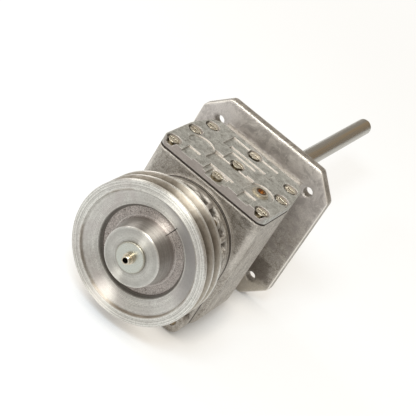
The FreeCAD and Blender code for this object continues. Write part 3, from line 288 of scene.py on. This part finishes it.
COVER_LOW, COVER_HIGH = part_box("top_cover")
CASE_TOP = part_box("top_cover_gasket")[0].z
END_LOW, END_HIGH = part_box("end_cover_gasket")
END_SEAM = (END_LOW.y + END_HIGH.y) / 2
SEAM_DIRT = (0.045, 0.036, 0.030)
SEAM_SOFT = 0.0005
TOP_SEAM_DEPTH = 0.0009
FRONT_SEAM_HALF = 0.0016
FRONT_SEAM_SOFT = 0.0006
FRONT_SEAM_CLEAR = 0.001
SCUFF_STRETCH = (90.0, 900.0, 520.0)
SCUFF_TURN = (0.5, 0.3, 0.6)
DRAWN_STRETCH = (300.0, 900.0, 42.0)
DRAWN_TURN = (0.2, 0.0, 0.0)

HOUSING = Palette(
    tones=((0.235, 0.211, 0.184), (0.40, 0.370, 0.333), (0.66, 0.630, 0.572)),
    stain=(0.24, 0.206, 0.170),
    shade=(0.20, 0.168, 0.145),
    # painted shade and grime, laid in corners and close to other pieces
    dirt=(0.17, 0.138, 0.112),
    # pale outer edges: partly worn metal, partly a painted highlight
    wear=(0.84, 0.80, 0.74),
    # painted light, paler towards the top of the flange's front face
    rubbed=(0.74, 0.702, 0.685),
    smudge=(0.36, 0.332, 0.315),
    # darker patch round the lower right bolt hole, in the corner by the neck
    oil=(0.13, 0.108, 0.088),
    # paler band along the bottom of the flange's front face
    scraped=(0.72, 0.665, 0.560),
    # painted highlight on the sides by the rounded front corners, about mid height
    corner=(0.76, 0.725, 0.675),
    # painted shade on the curved join between the neck and the flange, facing up
    flare=(0.28, 0.252, 0.228),
    # painted highlight along the flange's rounded front edge
    rim=(0.90, 0.86, 0.80),
)
FLANGE_FRONT = (-0.0098, -0.0094)
FLANGE_HIGHLIGHT = (-0.0092, -0.0089)
# Darker patch round the lower right bolt hole.
DARK_PATCH_PLACE = (0.052, -0.041)
DARK_PATCH_RAGGED = 0.020
DARK_PATCH_EDGE = (0.019, 0.025)
UPPER_LIGHT_HEIGHT = (-0.020, 0.060)
PALER_BOTTOM_HEIGHT = (-0.054, -0.044)
CORNER_HIGHLIGHT_Y = -0.1095
CORNER_HIGHLIGHT_Z = 0.020
FLARE_Y = -0.0118

COVER = Palette(
    tones=((0.31, 0.304, 0.276), (0.47, 0.472, 0.442), (0.68, 0.684, 0.648)),
    stain=(0.40, 0.362, 0.320),
    # painted shade on the cast slopes
    slope=(0.15, 0.128, 0.118),
    # painted shade and grime, laid in corners and close to other pieces
    dirt=(0.24, 0.185, 0.135),
    # pale outer edges: partly worn metal, partly a painted highlight
    wear=(0.90, 0.88, 0.83),
    # painted light on the forward-facing walls of the relief
    steps=(0.86, 0.800, 0.758),
    # painted shade on the forward-facing faces along the front
    front=(0.33, 0.292, 0.276),
)
COVER_FRONT = (COVER_LOW.y + 0.0050, COVER_LOW.y + 0.0060)
COVER_FOOT = (COVER_LOW.z + 0.0002, COVER_LOW.z + 0.0006)


def case_seams(graph):
    """1 on the housing and the end cover along their gasket lines, 0 elsewhere."""
    x, y, z = graph.axes(graph.place())
    under_cover = graph.fall(y, COVER_HIGH.y - SEAM_SOFT, COVER_HIGH.y + SEAM_SOFT)
    top = graph.rise(z, CASE_TOP - TOP_SEAM_DEPTH, CASE_TOP - SEAM_SOFT)
    edge = END_HIGH.x + FRONT_SEAM_CLEAR
    within = graph.fall(graph.absolute(x), edge, edge + FRONT_SEAM_CLEAR)
    upright = graph.fall(graph.absolute(graph.facing()[1]), 0.5, 0.7)
    front = graph.band(y, END_SEAM, FRONT_SEAM_HALF, FRONT_SEAM_SOFT)
    return graph.math("MAXIMUM", graph.product(top, under_cover), graph.product(front, within, upright))


def cast_surface(graph, tones, stain, stain_share):
    """Coat, roughness and height of tumbled cast aluminium, with its grain, stains and draw marks."""
    dark, middle, pale = tones
    place = graph.place()
    mottle = graph.noise(place, scale=210.0, detail=6.0, rough=0.70)
    grain = graph.noise(place, scale=900.0, rough=0.80)
    cloud = graph.noise(place, scale=24.0, twist=0.7)
    scuff = graph.noise(graph.stretch(place, SCUFF_STRETCH, SCUFF_TURN), detail=3.0)
    drawn = graph.noise(graph.stretch(place, DRAWN_STRETCH, DRAWN_TURN))
    sides = graph.rise(graph.absolute(graph.facing()[0]), 0.6, 0.9)
    coat = Coat(graph, graph.mix(graph.rise(mottle, 0.36, 0.52), dark, middle))
    coat.lay(pale, graph.rise(mottle, 0.52, 0.70, full=0.8))
    coat.lay(pale, graph.rise(grain, 0.48, 0.62, full=0.65))
    coat.lay(dark, graph.fall(grain, 0.36, 0.47, full=0.70))
    coat.lay(pale, graph.rise(scuff, 0.54, 0.72, full=0.45))
    coat.lay(pale, graph.rise(drawn, 0.52, 0.68, full=0.70), sides)
    coat.lay(dark, graph.fall(drawn, 0.32, 0.45, full=0.40), sides)
    coat.lay(stain, graph.rise(cloud, 0.50, 0.70, full=stain_share))
    rough = graph.span(mottle, *MOST_NOISE, start=0.48, end=0.62)
    rough = graph.total(rough, graph.rise(cloud, 0.50, 0.70, full=0.08))
    height = graph.total(grain, graph.product(mottle, 1.2), graph.product(drawn, sides, 0.8))
    return coat, rough, height


def mark_flange(graph, coat):
    """Lays painted light that grows towards the top of the flange's front face, smudges, a darker patch
    round the lower right bolt hole, and a paler band along the bottom.
    """
    place = graph.place()
    x, y, z = graph.axes(place)
    level = graph.fall(graph.facing()[1], -0.99, -0.95)
    flange = graph.product(graph.rise(y, *FLANGE_FRONT), level)
    # Painted light: the flange's front face paler towards its top.
    coat.lay(HOUSING.rubbed, flange, graph.rise(z, *UPPER_LIGHT_HEIGHT, full=0.56))
    smudge = graph.noise(place, scale=85.0, detail=5.0, rough=0.72, twist=0.8)
    coat.lay(HOUSING.smudge, flange, graph.rise(smudge, 0.46, 0.60, full=0.62))
    ragged = graph.product(graph.noise(place, scale=120.0), DARK_PATCH_RAGGED)
    spread = graph.total(graph.radius(x, z, DARK_PATCH_PLACE), ragged)
    # Darker patch round the lower right bolt hole, in the corner by the neck.
    coat.lay(HOUSING.oil, graph.fall(spread, *DARK_PATCH_EDGE, full=0.68), flange)
    # Paler band along the bottom of the flange's front face.
    coat.lay(HOUSING.scraped, flange, graph.fall(z, *PALER_BOTTOM_HEIGHT, full=0.42))


def housing_finish(graph):
    """Warm grey casting of the housing and the end cover."""
    soft = edge_normal(graph, radius=0.0042)
    hidden = crevice(graph, reach=0.006)
    coat, rough, height = cast_surface(graph, HOUSING.tones, HOUSING.stain, stain_share=0.25)
    coat.lay(HOUSING.shade, crevice(graph, reach=0.030), share=0.20)
    # Painted shade and grime: darker in corners and close to other pieces.
    coat.lay(HOUSING.dirt, hidden, share=0.40)
    # Pale outer edges: partly worn metal, partly a painted highlight.
    coat.lay(HOUSING.wear, edge_wear_and_sheen(graph, soft, hidden), share=0.65)
    mark_flange(graph, coat)
    y, z = graph.axes(graph.place())[1:]
    facing = graph.facing()
    sides = graph.rise(graph.absolute(facing[0]), 0.25, 0.60)
    # Painted highlight on the sides by the rounded front corners, about mid height.
    corner = graph.band(y, CORNER_HIGHLIGHT_Y, half=0.0030, soft=0.0045)
    coat.lay(HOUSING.corner, corner, graph.band(z, CORNER_HIGHLIGHT_Z, half=0.010, soft=0.022), sides, share=0.42)
    # Painted shade on the curved join between the neck and the flange, facing up.
    flare = graph.band(y, FLARE_Y, half=0.0026, soft=0.0004)
    coat.lay(HOUSING.flare, flare, graph.rise(facing[2], 0.1, 0.5), share=0.45)
    coat.lay(SEAM_DIRT, case_seams(graph), share=0.90)
    # Painted highlight along the flange's rounded front edge, which is also made glossier there.
    turning = graph.product(graph.rise(facing[1], -0.98, -0.88), graph.fall(facing[1], -0.35, -0.15))
    rim = graph.product(graph.rise(y, *FLANGE_HIGHLIGHT), turning)
    coat.lay(HOUSING.rim, rim, share=0.75)
    rough = graph.math("SUBTRACT", rough, graph.product(rim, 0.16))
    return {"Base Color": coat.colour, "Metallic": 1.0, "Roughness": rough,
            "Normal": graph.bump(height, strength=0.60, distance=0.00035, normal=soft)}


def cover_finish(graph):
    """Grey-green cover plate, with painted shade on its cast slopes and along its front, and painted
    light on the forward-facing walls of its relief.
    """
    soft = edge_normal(graph, radius=0.0008)
    hidden = crevice(graph, reach=0.003)
    y, z = graph.axes(graph.place())[1:]
    facing = graph.facing()
    coat, rough, height = cast_surface(graph, COVER.tones, COVER.stain, stain_share=0.30)
    # Painted shade on the cast slopes.
    coat.lay(COVER.slope, graph.fall(facing[2], 0.90, 0.995, full=0.90), graph.rise(facing[2], 0.2, 0.5))
    # Painted shade and grime: darker in corners and close to other pieces.
    coat.lay(COVER.dirt, hidden, share=0.45)
    # Pale outer edges: partly worn metal, partly a painted highlight.
    coat.lay(COVER.wear, edge_wear_and_sheen(graph, soft, hidden), share=0.75)
    forward = graph.fall(facing[1], -0.7, -0.4)
    # Painted light on the forward-facing walls of the relief.
    coat.lay(COVER.steps, forward, graph.rise(y, *COVER_FRONT), share=0.80)
    # Painted shade on the forward-facing faces along the front.
    coat.lay(COVER.front, forward, graph.fall(y, *COVER_FRONT), share=0.45)
    coat.lay(SEAM_DIRT, graph.fall(z, *COVER_FOOT), share=0.85)
    return {"Base Color": coat.colour, "Metallic": 1.0, "Roughness": graph.total(rough, 0.10),
            "Normal": graph.bump(height, strength=0.50, distance=0.0003, normal=soft)}


# Turned pulley

PULLEY = Palette(
    turned=((0.46, 0.446, 0.402), (0.88, 0.864, 0.812)),
    speck_pale=(0.88, 0.862, 0.812),
    speck_dark=(0.26, 0.235, 0.212),
    wide=(0.40, 0.378, 0.348),
    web=((0.34, 0.298, 0.270), (0.74, 0.680, 0.638)),
    pits=(0.15, 0.120, 0.098),
    cloud=(0.54, 0.484, 0.456),
    boss=(0.37, 0.358, 0.326),
    # painted highlight on the ring round the hub's base
    lip=(0.86, 0.815, 0.775),
    # painted shade on the hub's side
    flank=(0.25, 0.215, 0.198),
    # painted shade and grime, laid in corners and close to other pieces
    dirt=(0.14, 0.115, 0.090),
    dish=(0.50, 0.448, 0.432),
    # painted shade on one side of the dished face
    film=(0.33, 0.312, 0.300),
    # painted shade on the outer step, on the same side
    step=(0.22, 0.200, 0.186),
    rust=(0.30, 0.240, 0.180),
    # painted shade in the ring round the web, where its recess wall is
    seam=(0.07, 0.056, 0.044),
    scribe=(0.055, 0.046, 0.040),
    groove=((0.40, 0.330, 0.245), (0.64, 0.570, 0.475)),
    # painted shade towards the groove bottoms
    deep=(0.13, 0.100, 0.072),
    # pale outer edges: partly worn metal, partly a painted highlight
    wear=(0.84, 0.83, 0.79),
)
BOSS_EDGE = (0.0244, 0.0250)
FLANK_RADIUS = 0.0262
LIP_RADIUS = 0.0290
WEB_INNER = (0.0262, 0.0280)
WEB_OUTER = (0.0362, 0.0376)
RECESS_SHADE_RADIUS = 0.0374
DISH_INNER = (0.0395, 0.0410)
DISH_OUTER = (0.0500, 0.0512)
STEP_RADIUS = 0.0517
GROOVE_BOTTOM = (0.0480, 0.0490)
GROOVE_DEEP = (0.0530, 0.0595)
GROOVE_FRONT_Y = -0.170
GROOVE_REAR_Y = -0.158
GROOVE_HALF = 0.0046
GROOVE_SOFT = 0.0005
PULLEY_MIDDLE = -0.165
SCRIBE_WAY = (0.362, 0.932)
SCRIBE_START = (0.0268, 0.0273)
SCRIBE_END = (0.0408, 0.0416)
# Side of the pulley's face that gets painted shade.
SHADE_SIDE_WAY = (0.75, 0.66)
SHADE_SIDE_REACH = (0.018, 0.046)
SHADE_SIDE_RAGGED = 0.020
RUST_WAY = (0.52, -0.85)
RUST_REACH = (0.030, 0.048)
QUARTER_TURN = 0.25


def turned_rings(graph, place, fine):
    """Radius about the shaft axis, and the height of the tool's marks round it."""
    x, y, z = graph.axes(place)
    radius = graph.radius(x, z)
    marks = graph.noise(graph.vector(radius, y, 0.0), fine, detail=3.0, rough=0.65)
    return radius, marks


def round_tangent(graph):
    """Direction round the shaft axis, which the tool's marks follow."""
    return graph.add("ShaderNodeTangent", direction_type="RADIAL", axis="Y").outputs[0]


def scribed_line(graph, place):
    """1 on the short timing line that is scribed across the pulley's web, 0 elsewhere."""
    x, y, z = graph.axes(place)
    way_x, way_z = SCRIBE_WAY
    along = graph.along(x, z, SCRIBE_WAY)
    line = graph.band(graph.along(x, z, (way_z, -way_x)), 0.0, half=0.00025, soft=0.0002)
    ends = graph.product(graph.rise(along, *SCRIBE_START), graph.fall(along, *SCRIBE_END))
    return graph.product(line, ends, graph.fall(y, PULLEY_MIDDLE - 0.001, PULLEY_MIDDLE))


def turned_colour(graph, place, radius, y, marks):
    """Bright turned metal with fine and wide rings and specks."""
    wide = graph.noise(graph.vector(radius, y, 0.0), scale=420.0, detail=2.0, rough=0.5)
    speck = graph.noise(place, scale=850.0, detail=3.0, rough=0.7)
    coat = Coat(graph, graph.mix(graph.rise(marks, 0.36, 0.62), *PULLEY.turned))
    coat.lay(PULLEY.speck_pale, graph.rise(speck, 0.46, 0.62, full=0.34))
    coat.lay(PULLEY.speck_dark, graph.fall(speck, 0.35, 0.46, full=0.36))
    coat.lay(PULLEY.wide, graph.rise(wide, 0.46, 0.60, full=0.34))
    return coat.colour


def web_colour(graph, place, pits):
    """Grainy cast metal with dark pits."""
    grit = graph.noise(place, scale=1500.0, detail=3.0, rough=0.7)
    coat = Coat(graph, graph.mix(graph.rise(grit, 0.38, 0.62), *PULLEY.web))
    coat.lay(PULLEY.pits, pits, share=0.75)
    return coat.colour


def mark_hub(graph, coat, radius):
    """Lays the duller face of the hub, painted shade on its side and a painted highlight on the ring
    round its base.
    """
    ahead = graph.facing()[1]
    coat.lay(PULLEY.boss, graph.fall(radius, *BOSS_EDGE), graph.fall(ahead, -0.9, -0.8), share=0.50)
    # Painted highlight on the ring round the hub's base.
    coat.lay(PULLEY.lip, graph.band(radius, LIP_RADIUS, half=0.0003, soft=0.0003), share=0.55)
    # Painted shade on the hub's side.
    flank = graph.band(radius, FLANK_RADIUS, half=0.0022, soft=0.0005)
    coat.lay(PULLEY.flank, flank, graph.rise(ahead, -0.60, -0.45), share=0.55)


def mark_dish(graph, coat, place, radius, cloud):
    """Lays the stains of the dished face, painted shade on one side of it and of its outer step, rust on
    that step, and painted shade in the ring round the web.
    """
    x, _, z = graph.axes(place)
    dish = graph.product(graph.rise(radius, *DISH_INNER), graph.fall(radius, *DISH_OUTER))
    coat.lay(PULLEY.dish, dish, graph.rise(cloud, 0.38, 0.60, full=0.38))
    ragged = graph.product(graph.math("SUBTRACT", cloud, 0.5), SHADE_SIDE_RAGGED)
    toward = graph.total(graph.along(x, z, SHADE_SIDE_WAY), ragged)
    # Painted shade on one side of the dished face.
    coat.lay(PULLEY.film, dish, graph.rise(toward, *SHADE_SIDE_REACH, full=0.85))
    step = graph.band(radius, STEP_RADIUS, half=0.0006, soft=0.0006)
    # Painted shade on the outer step, on the same side.
    coat.lay(PULLEY.step, step, graph.rise(toward, *SHADE_SIDE_REACH, full=0.55))
    low = graph.rise(graph.along(x, z, RUST_WAY), *RUST_REACH, full=0.75)
    rust = graph.math("MAXIMUM", graph.rise(cloud, 0.42, 0.60, full=0.60), low)
    coat.lay(PULLEY.rust, step, rust)
    # Painted shade in the ring round the web.
    coat.lay(PULLEY.seam, graph.band(radius, RECESS_SHADE_RADIUS, half=0.0008, soft=0.0007), share=0.70)


def mark_grooves(graph, coat, radius, y, mottle):
    """Lays the belt's tan rub in both grooves, and painted shade that grows darker towards their
    bottoms.
    """
    front = graph.band(y, GROOVE_FRONT_Y, GROOVE_HALF, GROOVE_SOFT)
    rear = graph.band(y, GROOVE_REAR_Y, GROOVE_HALF, GROOVE_SOFT)
    groove = graph.product(graph.math("MAXIMUM", front, rear), graph.rise(radius, *GROOVE_BOTTOM))
    coat.lay(graph.mix(graph.rise(mottle, 0.35, 0.65), *PULLEY.groove), groove, share=0.65)
    # Painted shade, darker towards the groove bottoms.
    coat.lay(PULLEY.deep, groove, graph.fall(radius, *GROOVE_DEEP, full=0.75))


def pulley_finish(graph):
    """Turned pulley: bright rim and hub, grainy cast web, belt-stained grooves."""
    place = graph.place()
    y = graph.axes(place)[1]
    soft = edge_normal(graph, radius=0.0007)
    hidden = crevice(graph, reach=0.005)
    radius, marks = turned_rings(graph, place, fine=2600.0)
    mottle = graph.noise(place, scale=190.0, detail=6.0, rough=0.65)
    cloud = graph.noise(place, scale=30.0, twist=0.6)
    clusters = graph.span(graph.noise(place, scale=75.0, detail=3.0), 0.46, 0.58, start=0.15, end=1.0)
    pits = graph.product(graph.fall(graph.cells(place, scale=340.0), 0.14, 0.30), clusters)
    web = graph.product(graph.rise(radius, *WEB_INNER), graph.fall(radius, *WEB_OUTER))
    turned = turned_colour(graph, place, radius, y, marks)
    coat = Coat(graph, graph.mix(web, turned, web_colour(graph, place, pits)))
    coat.lay(PULLEY.cloud, graph.rise(cloud, 0.46, 0.66, full=0.32))
    mark_hub(graph, coat, radius)
    # Painted shade and grime: darker in corners and close to other pieces.
    coat.lay(PULLEY.dirt, hidden, share=0.45)
    mark_dish(graph, coat, place, radius, cloud)
    coat.lay(PULLEY.scribe, scribed_line(graph, place))
    mark_grooves(graph, coat, radius, y, mottle)
    # Pale outer edges: partly worn metal, partly a painted highlight.
    coat.lay(PULLEY.wear, edge_wear_and_sheen(graph, soft, hidden), share=0.45)
    rough = graph.total(graph.span(mottle, *MOST_NOISE, start=0.42, end=0.52), graph.product(web, 0.08))
    pitted = graph.product(graph.math("SUBTRACT", mottle, pits), web, 1.6)
    height = graph.total(graph.product(marks, 0.5), pitted)
    return {"Base Color": coat.colour, "Metallic": 1.0, "Roughness": rough, "Anisotropic": 0.92,
            "Anisotropic Rotation": QUARTER_TURN, "Tangent": round_tangent(graph),
            "Normal": graph.bump(height, strength=0.35, distance=0.0002, normal=soft)}


# Shaft, washer, screws and plug

SHAFT = Palette(
    ground=((0.36, 0.347, 0.309), (0.51, 0.500, 0.460)),
    streak=(0.32, 0.290, 0.235),
    # painted reflection: tan band along one side
    oil=(0.52, 0.410, 0.255),
)
SHAFT_STRETCH = (300.0, 7.0, 300.0)
# Side of the shaft that carries the painted reflection.
SHAFT_SHEEN_WAY = (0.41, 0.91)

WASHER = Palette(
    plated=((0.40, 0.408, 0.365), (0.54, 0.550, 0.500)),
    spots=(0.46, 0.425, 0.355),
    stud=(0.62, 0.545, 0.430),
    # painted shade down the stud's hole
    bore=(0.05, 0.04, 0.035),
    edge=(0.27, 0.225, 0.160),
)
STUD_BORE = (0.0022, 0.0027)
STUD_EDGE = (0.0046, 0.0052)
WASHER_EDGE = (0.0117, 0.0123)

SCREW = Palette(
    plated=((0.66, 0.600, 0.480), (0.82, 0.780, 0.670)),
    rub=(0.52, 0.430, 0.290),
    # painted shade, dull brown below the tops of the cover's heads
    low=(0.26, 0.208, 0.140),
)
SCREW_STRETCH = (400.0, 2400.0, 400.0)
SCREW_SHADE_LINE = (0.0559, 0.0570)

PLUG = Palette(
    centre=((0.52, 0.250, 0.070), (0.86, 0.500, 0.180)),
    ring=((0.11, 0.078, 0.050), (0.22, 0.160, 0.105)),
    rim=((0.50, 0.450, 0.360), (0.64, 0.600, 0.510)),
)
PLUG_CENTRE = (0.032, -0.078)
PLUG_SOCKET = (0.0027, 0.0031)
PLUG_RIM = (0.0042, 0.0050)


def shaft_finish(graph):
    """Ground steel shaft with fine marks round it and a painted reflection, a tan band along one side.
    """
    place = graph.place()
    x, y, z = graph.axes(place)
    marks = graph.noise(graph.vector(0.0, y, 0.0), scale=4200.0, detail=3.0, rough=0.7)
    streak = graph.noise(graph.stretch(place, SHAFT_STRETCH))
    side = graph.math("DIVIDE", graph.along(x, z, SHAFT_SHEEN_WAY), graph.radius(x, z))
    coat = Coat(graph, graph.mix(graph.rise(marks, *MOST_NOISE), *SHAFT.ground))
    coat.lay(SHAFT.streak, graph.rise(streak, 0.44, 0.66, full=0.45))
    uneven = graph.span(streak, 0.34, 0.56, start=0.35, end=1.0)
    # Painted reflection: a tan band along one side of the shaft.
    coat.lay(SHAFT.oil, graph.rise(side, 0.86, 0.97), uneven, share=0.75)
    rough = graph.span(streak, *MOST_NOISE, start=0.24, end=0.36)
    return {"Base Color": coat.colour, "Metallic": 1.0, "Roughness": rough, "Anisotropic": 0.5,
            "Anisotropic Rotation": QUARTER_TURN, "Tangent": round_tangent(graph),
            "Normal": graph.bump(marks, strength=0.12, distance=0.00008)}


def washer_finish(graph):
    """Pale plated washer with a tan edge, and the tan stud with painted shade down its hole."""
    place = graph.place()
    soft = edge_normal(graph, radius=0.0004)
    radius, marks = turned_rings(graph, place, fine=3400.0)
    spots = graph.noise(place, scale=420.0)
    edge = graph.rise(radius, *WASHER_EDGE)
    coat = Coat(graph, graph.mix(graph.rise(marks, *MOST_NOISE), *WASHER.plated))
    coat.lay(WASHER.spots, graph.rise(spots, 0.50, 0.70, full=0.30))
    coat.lay(WASHER.stud, graph.fall(radius, *STUD_EDGE, full=0.8))
    # Painted shade down the stud's hole.
    coat.lay(WASHER.bore, graph.fall(radius, *STUD_BORE), share=0.9)
    coat.lay(WASHER.edge, edge, share=0.40)
    rough = graph.total(graph.span(spots, *MOST_NOISE, start=0.24, end=0.36), graph.product(edge, 0.20))
    return {"Base Color": coat.colour, "Metallic": 1.0, "Roughness": rough,
            "Normal": graph.bump(marks, strength=0.2, distance=0.0001, normal=soft)}


def screw_finish(graph):
    """Plated screws, pale yellow on the tops of the cover's heads, with painted shade in dull brown
    lower down.
    """
    place = graph.place()
    soft = edge_normal(graph, radius=0.0005)
    z = graph.axes(place)[2]
    spots = graph.noise(place, scale=600.0)
    rub = graph.noise(graph.stretch(place, SCREW_STRETCH), detail=2.0, rough=0.5)
    coat = Coat(graph, graph.mix(graph.rise(spots, 0.35, 0.66), *SCREW.plated))
    coat.lay(SCREW.rub, graph.rise(rub, 0.55, 0.75, full=0.35))
    # Painted shade: dull brown below the tops of the cover's heads.
    coat.lay(SCREW.low, graph.fall(z, *SCREW_SHADE_LINE))
    rough = graph.span(spots, *MOST_NOISE, start=0.24, end=0.40)
    return {"Base Color": coat.colour, "Metallic": 1.0, "Roughness": rough,
            "Normal": graph.bump(spots, strength=0.25, distance=0.0001, normal=soft)}


def plug_finish(graph):
    """Dull brass plug: an orange-brown socket, a dark ring and a pale rim."""
    place = graph.place()
    x, y, _ = graph.axes(place)
    radius = graph.radius(x, y, PLUG_CENTRE)
    spots = graph.noise(place, scale=700.0)
    uneven = graph.rise(spots, 0.35, 0.65)
    coat = Coat(graph, graph.mix(graph.rise(spots, 0.42, 0.58), *PLUG.centre))
    coat.lay(graph.mix(uneven, *PLUG.ring), graph.rise(radius, *PLUG_SOCKET))
    coat.lay(graph.mix(uneven, *PLUG.rim), graph.rise(radius, *PLUG_RIM))
    rough = graph.span(spots, *MOST_NOISE, start=0.34, end=0.52)
    return {"Base Color": coat.colour, "Metallic": 0.9, "Roughness": rough,
            "Normal": graph.bump(spots, strength=0.3, distance=0.00015)}


# Bushes, gears, gaskets and seals

BRONZE = Palette(
    machined=((0.55, 0.380, 0.190), (0.70, 0.520, 0.300)),
    spots=(0.40, 0.270, 0.140),
)
GEAR = Palette(
    machined=((0.42, 0.415, 0.405), (0.58, 0.575, 0.565)),
    # oiled patches
    oil=(0.30, 0.255, 0.190),
)
GASKET = Palette(
    paper=((0.030, 0.024, 0.018), (0.095, 0.075, 0.055)),
    # oiled patches
    oil=(0.020, 0.016, 0.012),
)
RUBBER = Palette(bloom=((0.014, 0.013, 0.012), (0.050, 0.046, 0.042)))


def bronze_finish(graph):
    """Machined bronze of the bushes."""
    place = graph.place()
    y = graph.axes(place)[1]
    marks = graph.noise(graph.vector(0.0, y, 0.0), scale=3000.0, detail=3.0, rough=0.65)
    spots = graph.noise(place, scale=300.0)
    coat = Coat(graph, graph.mix(graph.rise(marks, *MOST_NOISE), *BRONZE.machined))
    coat.lay(BRONZE.spots, graph.rise(spots, 0.5, 0.7, full=0.5))
    rough = graph.span(spots, *MOST_NOISE, start=0.26, end=0.42)
    return {"Base Color": coat.colour, "Metallic": 1.0, "Roughness": rough,
            "Normal": graph.bump(marks, strength=0.2, distance=0.0001)}


def gear_finish(graph):
    """Machined and lightly oiled steel of the gears, shafts, keys, rings and bearings."""
    place = graph.place()
    soft = edge_normal(graph, radius=0.0004)
    oil = graph.noise(place, scale=60.0, twist=0.5)
    marks = turned_rings(graph, place, fine=2400.0)[1]
    coat = Coat(graph, graph.mix(graph.rise(marks, *MOST_NOISE), *GEAR.machined))
    coat.lay(GEAR.oil, graph.rise(oil, 0.46, 0.70, full=0.6))
    rough = graph.span(oil, *MOST_NOISE, start=0.34, end=0.20)
    return {"Base Color": coat.colour, "Metallic": 1.0, "Roughness": rough,
            "Normal": graph.bump(marks, strength=0.2, distance=0.0001, normal=soft)}


def gasket_finish(graph):
    """Dark oiled gasket paper."""
    place = graph.place()
    fibre = graph.noise(place, scale=1400.0, rough=0.7)
    cloud = graph.noise(place, scale=70.0, detail=3.0)
    coat = Coat(graph, graph.mix(graph.rise(fibre, *MOST_NOISE), *GASKET.paper))
    coat.lay(GASKET.oil, graph.rise(cloud, 0.45, 0.7, full=0.5))
    return {"Base Color": coat.colour, "Roughness": graph.span(fibre, *MOST_NOISE, start=0.55, end=0.80),
            "Normal": graph.bump(fibre, strength=0.4, distance=0.0002)}


def rubber_finish(graph):
    """Black seal rubber with a dusty bloom."""
    place = graph.place()
    fine = graph.noise(place, scale=1800.0, detail=3.0)
    bloom = graph.noise(place, scale=120.0)
    colour = graph.mix(graph.rise(bloom, 0.40, 0.72), *RUBBER.bloom)
    return {"Base Color": colour, "Roughness": graph.span(fine, *MOST_NOISE, start=0.42, end=0.62),
            "Normal": graph.bump(fine, strength=0.25, distance=0.00015)}


FINISHES = {
    "cast_housing": housing_finish,
    "cast_cover": cover_finish,
    "gasket": gasket_finish,
    "plated_screw": screw_finish,
    "brass_plug": plug_finish,
    "seal_rubber": rubber_finish,
    "bronze_bush": bronze_finish,
    "turned_pulley": pulley_finish,
    "ground_shaft": shaft_finish,
    "plated_washer": washer_finish,
    "gear_steel": gear_finish,
}


def dress_nodes():
    """Gives every CAD node the material of its slot in the record."""
    made = {slot: finished(slot, build) for slot, build in FINISHES.items()}
    for row in frame["record"]["subparts"]:
        item = frame["nodes"][row["node"]]
        item.data.materials.clear()
        item.data.materials.append(made[row["material_slot"]])


# Floor and surroundings

FLOOR_REACH = 30.0
FLOOR_TONE = (0.30, 0.36, 0.44)
FLOOR_NEAR = (0.70, 0.640, 0.555)
FLOOR_FAR = (0.94, 0.93, 0.91)
FLOOR_FADE = (0.5, 2.5)
CONTACT_REACH = 0.024
CONTACT_OPEN = (0.25, 0.90)
CONTACT_GLOW = 0.30
CONTACT_SAMPLES = 8
ROOM_DIM = (0.34, 0.296, 0.250)
ROOM_BRIGHT = (0.62, 0.585, 0.540)
ROOM_BRIGHT_WAY = (-0.56, -0.60, 0.57)
ROOM_FADE = (-0.9, 0.9)


def floor_surface(graph):
    """Pale floor that glows to white where nothing shades it; its glow is dimmed by a painted contact
    shadow where the object stands close over it.
    """
    path = graph.add("ShaderNodeLightPath").outputs
    seen = graph.math("ADD", path["Is Camera Ray"], path["Is Glossy Ray"])
    seen = graph.math("ADD", seen, path["Is Transmission Ray"], clamp=True)
    # Painted contact shadow: the glow dims where the object stands close over the floor.
    above = graph.occlusion(CONTACT_REACH, CONTACT_SAMPLES)
    lit = graph.span(above, *CONTACT_OPEN, start=CONTACT_GLOW, end=1.0, smooth=False)
    away = graph.rise(graph.length(graph.place()), *FLOOR_FADE)
    return {"Base Color": opaque(FLOOR_TONE), "Roughness": 0.9, "Specular IOR Level": 0.0,
            "Emission Color": graph.mix(away, FLOOR_NEAR, FLOOR_FAR),
            "Emission Strength": graph.product(seen, lit)}


def add_floor():
    """Wide level floor under the object."""
    level = CAD_BOX[0].z
    mesh = bpy.data.meshes.new("floor")
    signs = ((-1, -1), (1, -1), (1, 1), (-1, 1))
    corners = [(x * FLOOR_REACH, y * FLOOR_REACH, level) for x, y in signs]
    mesh.from_pydata(corners, [], [(0, 1, 2, 3)])
    floor = bpy.data.objects.new("floor", mesh)
    bpy.context.scene.collection.objects.link(floor)
    mesh.materials.append(finished("floor", floor_surface))


def add_surroundings():
    """Warm even room light, brighter towards the front left."""
    world = bpy.data.worlds.new("surroundings")
    world.use_nodes = True
    graph = Graph(world.node_tree)
    ahead = graph.add("ShaderNodeTexCoord").outputs["Generated"]
    share = graph.rise(graph.dot(ahead, ROOM_BRIGHT_WAY), *ROOM_FADE)
    colour = graph.mix(share, ROOM_DIM, ROOM_BRIGHT)
    light = graph.add("ShaderNodeBackground", {"Color": colour, "Strength": 1.0})
    graph.add("ShaderNodeOutputWorld", {"Surface": light.outputs[0]})
    bpy.context.scene.world = world


add_camera()
add_lamp("key_lamp", KEY_PLACE, KEY_SIZE, KEY_POWER, KEY_COLOUR)
add_lamp("side_lamp", SIDE_PLACE, SIDE_SIZE, SIDE_POWER, SIDE_COLOUR)
add_surroundings()
add_floor()
dress_nodes()
bpy.context.scene.view_settings.view_transform = "Standard"
